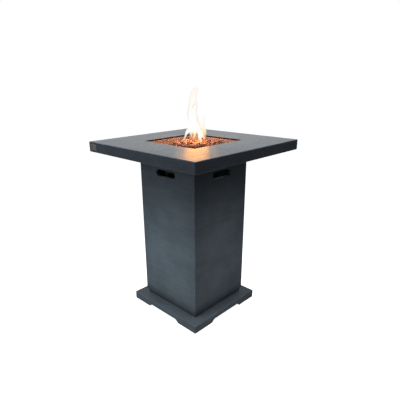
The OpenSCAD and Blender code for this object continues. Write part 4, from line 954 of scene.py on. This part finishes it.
TALL = [(1086, 2, 18), (1098, 0, 19), (1115, -4, 26), (1132, -5, 27), (1145, -5, 27), (1158, -5, 25),
        (1170, -3, 25), (1185, 0, 25), (1199, 0, 23), (1219, -3, 18), (1243, 2, 18), (1260, 8, 17),
        (1268, 12, 14), (1275, 19, 8), (1281, 24, 2)]
SHOULDER = [(1034, 57, 3), (1042, 56, 8), (1054, 53, 12), (1068, 49, 15), (1086, 45, 18), (1100, 41, 20),
            (1113, 41, 20), (1124, 42, 17), (1131, 44, 11), (1134, 45, 3)]
flame_tongue("flame_tall", "thin", TALL)
flame_tongue("flame_shoulder", "pink", SHOULDER, 12)
flame_edge("flame_edge_tall", TALL, 0)
flame_edge("flame_edge_shoulder", SHOULDER[3:], 12)
flame_tongue("flame_flick_upper", "flick", [
    (1182, 3, 1.5), (1188, 4.5, 2.5), (1194, 6.5, 2.5), (1200, 8, 1)], -18, 1.0)
flame_tongue("flame_flick_lower", "flick", [
    (1173, -6, 1.5), (1178, -4, 2.5), (1183, -2.5, 2.5), (1188, -1, 1)], -18, 1.0)
flame_tongue("flame_strip", "cream", [
    (1066, 38, 3), (1080, 35, 8), (1100, 29, 9), (1120, 24, 8), (1140, 20, 5), (1152, 18, 2)], -22)
flame_tongue("flame_body", "dense", [
    (1050, 3, 8), (1058, 2, 26), (1068, 2, 31), (1079, 3, 26), (1095, 1, 20), (1113, -3, 25),
    (1132, -4, 25), (1153, -4, 20), (1180, 0, 5)], 0, 0.4)
flame_tongue("flame_haze", "yellow", [
    (1030, 5, 3), (1037, 5, 12), (1045, 4, 22), (1056, 3, 28), (1070, 3, 14)], 14)
flame_tongue("flame_ember", "ember", [
    (996, 6, 20), (1006, 6, 30), (1018, 5, 31), (1030, 4, 28), (1042, 4, 24), (1052, 3, 12)], 26, 0.5)
flame_tongue("flame_wisp", "wisp", [
    (1004, 58, 5), (1012, 59, 8), (1020, 60, 10), (1029, 60, 11), (1039, 60, 13), (1050, 58, 14),
    (1061, 56, 14), (1073, 53, 14), (1086, 50, 5)], 10)
flame_tongue("flame_leg_left", "left", [
    (992, -74, 3), (1000, -62, 5), (1007, -54, 4.5), (1014, -48, 4.5), (1022, -44, 5), (1029, -42, 5.5),
    (1036, -39, 6.5), (1043, -35, 9), (1050, -30, 12), (1058, -23, 16), (1066, -15, 17),
    (1080, -6, 8)], -16)
flame_tongue("flame_lobe_left", "thin", [
    (1037, -20, 3), (1044, -20, 11), (1052, -17, 14), (1062, -12, 14), (1076, -6, 5)], -4)
flame_tongue("flame_leg_thin", "middle", [
    (1016, -11, 2), (1024, -11, 3.5), (1030, -11.5, 4), (1037, -12, 4.5), (1046, -10, 6), (1056, -6, 7),
    (1066, 0, 4)], 10)
flame_tongue("flame_leg_middle", "middle", [
    (1004, 0, 3), (1014, 3, 6.5), (1021, 5, 6.5), (1028, 8, 6), (1036, 8, 6.5), (1050, 8, 9),
    (1064, 8, 7)], 4)
flame_tongue("flame_leg_right_middle", "right", [
    (984, 46, 2), (991, 44, 5), (999, 42, 6), (1006, 37.5, 7.5), (1013, 36, 9.5), (1021, 36.5, 12),
    (1028, 38.5, 14), (1036, 39, 15), (1043, 36, 15), (1057, 27, 18), (1068, 20, 14), (1080, 12, 5)], -14)
flame_tongue("flame_leg_right", "left", [
    (1003, 65, 3), (1008, 61, 5.5), (1013, 56.5, 6), (1021, 51.5, 7), (1028, 48, 7.5), (1036, 45, 8),
    (1048, 40, 6)], -6)

# %% [markdown]
# The flame lights the rocks and the pan, and the satin top mirrors it. A glowing volume could do
# both, but it leaves much noise in the picture. So round lamps stand inside the flame: some are
# seen only as a reflection in the top, and the others only light what is near.

# %% Light of the flame
def flame_lamp(name, sideways, height, watts, size, colour, mirrored):
    """A round lamp inside the flame: either the satin top mirrors it, or it lights the rocks."""
    place = Vector((math.cos(turn), math.sin(turn), 0)) * sideways + Vector((0, 0, height))
    bpy.ops.object.light_add(type="POINT", location=place)
    lamp = newest(name)
    lamp.data.energy, lamp.data.color, lamp.data.shadow_soft_size = watts, colour, size
    lamp.visible_glossy, lamp.visible_diffuse = mirrored, not mirrored


MIRROR_GLOW, FIRE_GLOW = (1.0, 0.38, 0.02), (1.0, 0.46, 0.19)
MIRRORED = {                        # sideways, height, watts and radius of the lamps in the satin top
    "low": (0.026, 1.02, 0.36, 0.060),
    "mid": (0.018, 1.07, 0.60, 0.072),
    "high": (0.0, 1.13, 0.42, 0.074),
    "halo": (0.016, 1.09, 0.60, 0.130),
}
LIGHTING = {                        # the same of the lamps that light the rocks and the pan's walls
    "rocks": (0.0, 1.05, 4.3, 0.03),
    "walls": (0.012, 1.09, 3.0, 0.05),
}
for lamps, glow, mirrored in ((MIRRORED, MIRROR_GLOW, True), (LIGHTING, FIRE_GLOW, False)):
    for name, (sideways, height, watts, size) in lamps.items():
        flame_lamp("flame_light_" + name, sideways, height, watts, size, glow, mirrored)
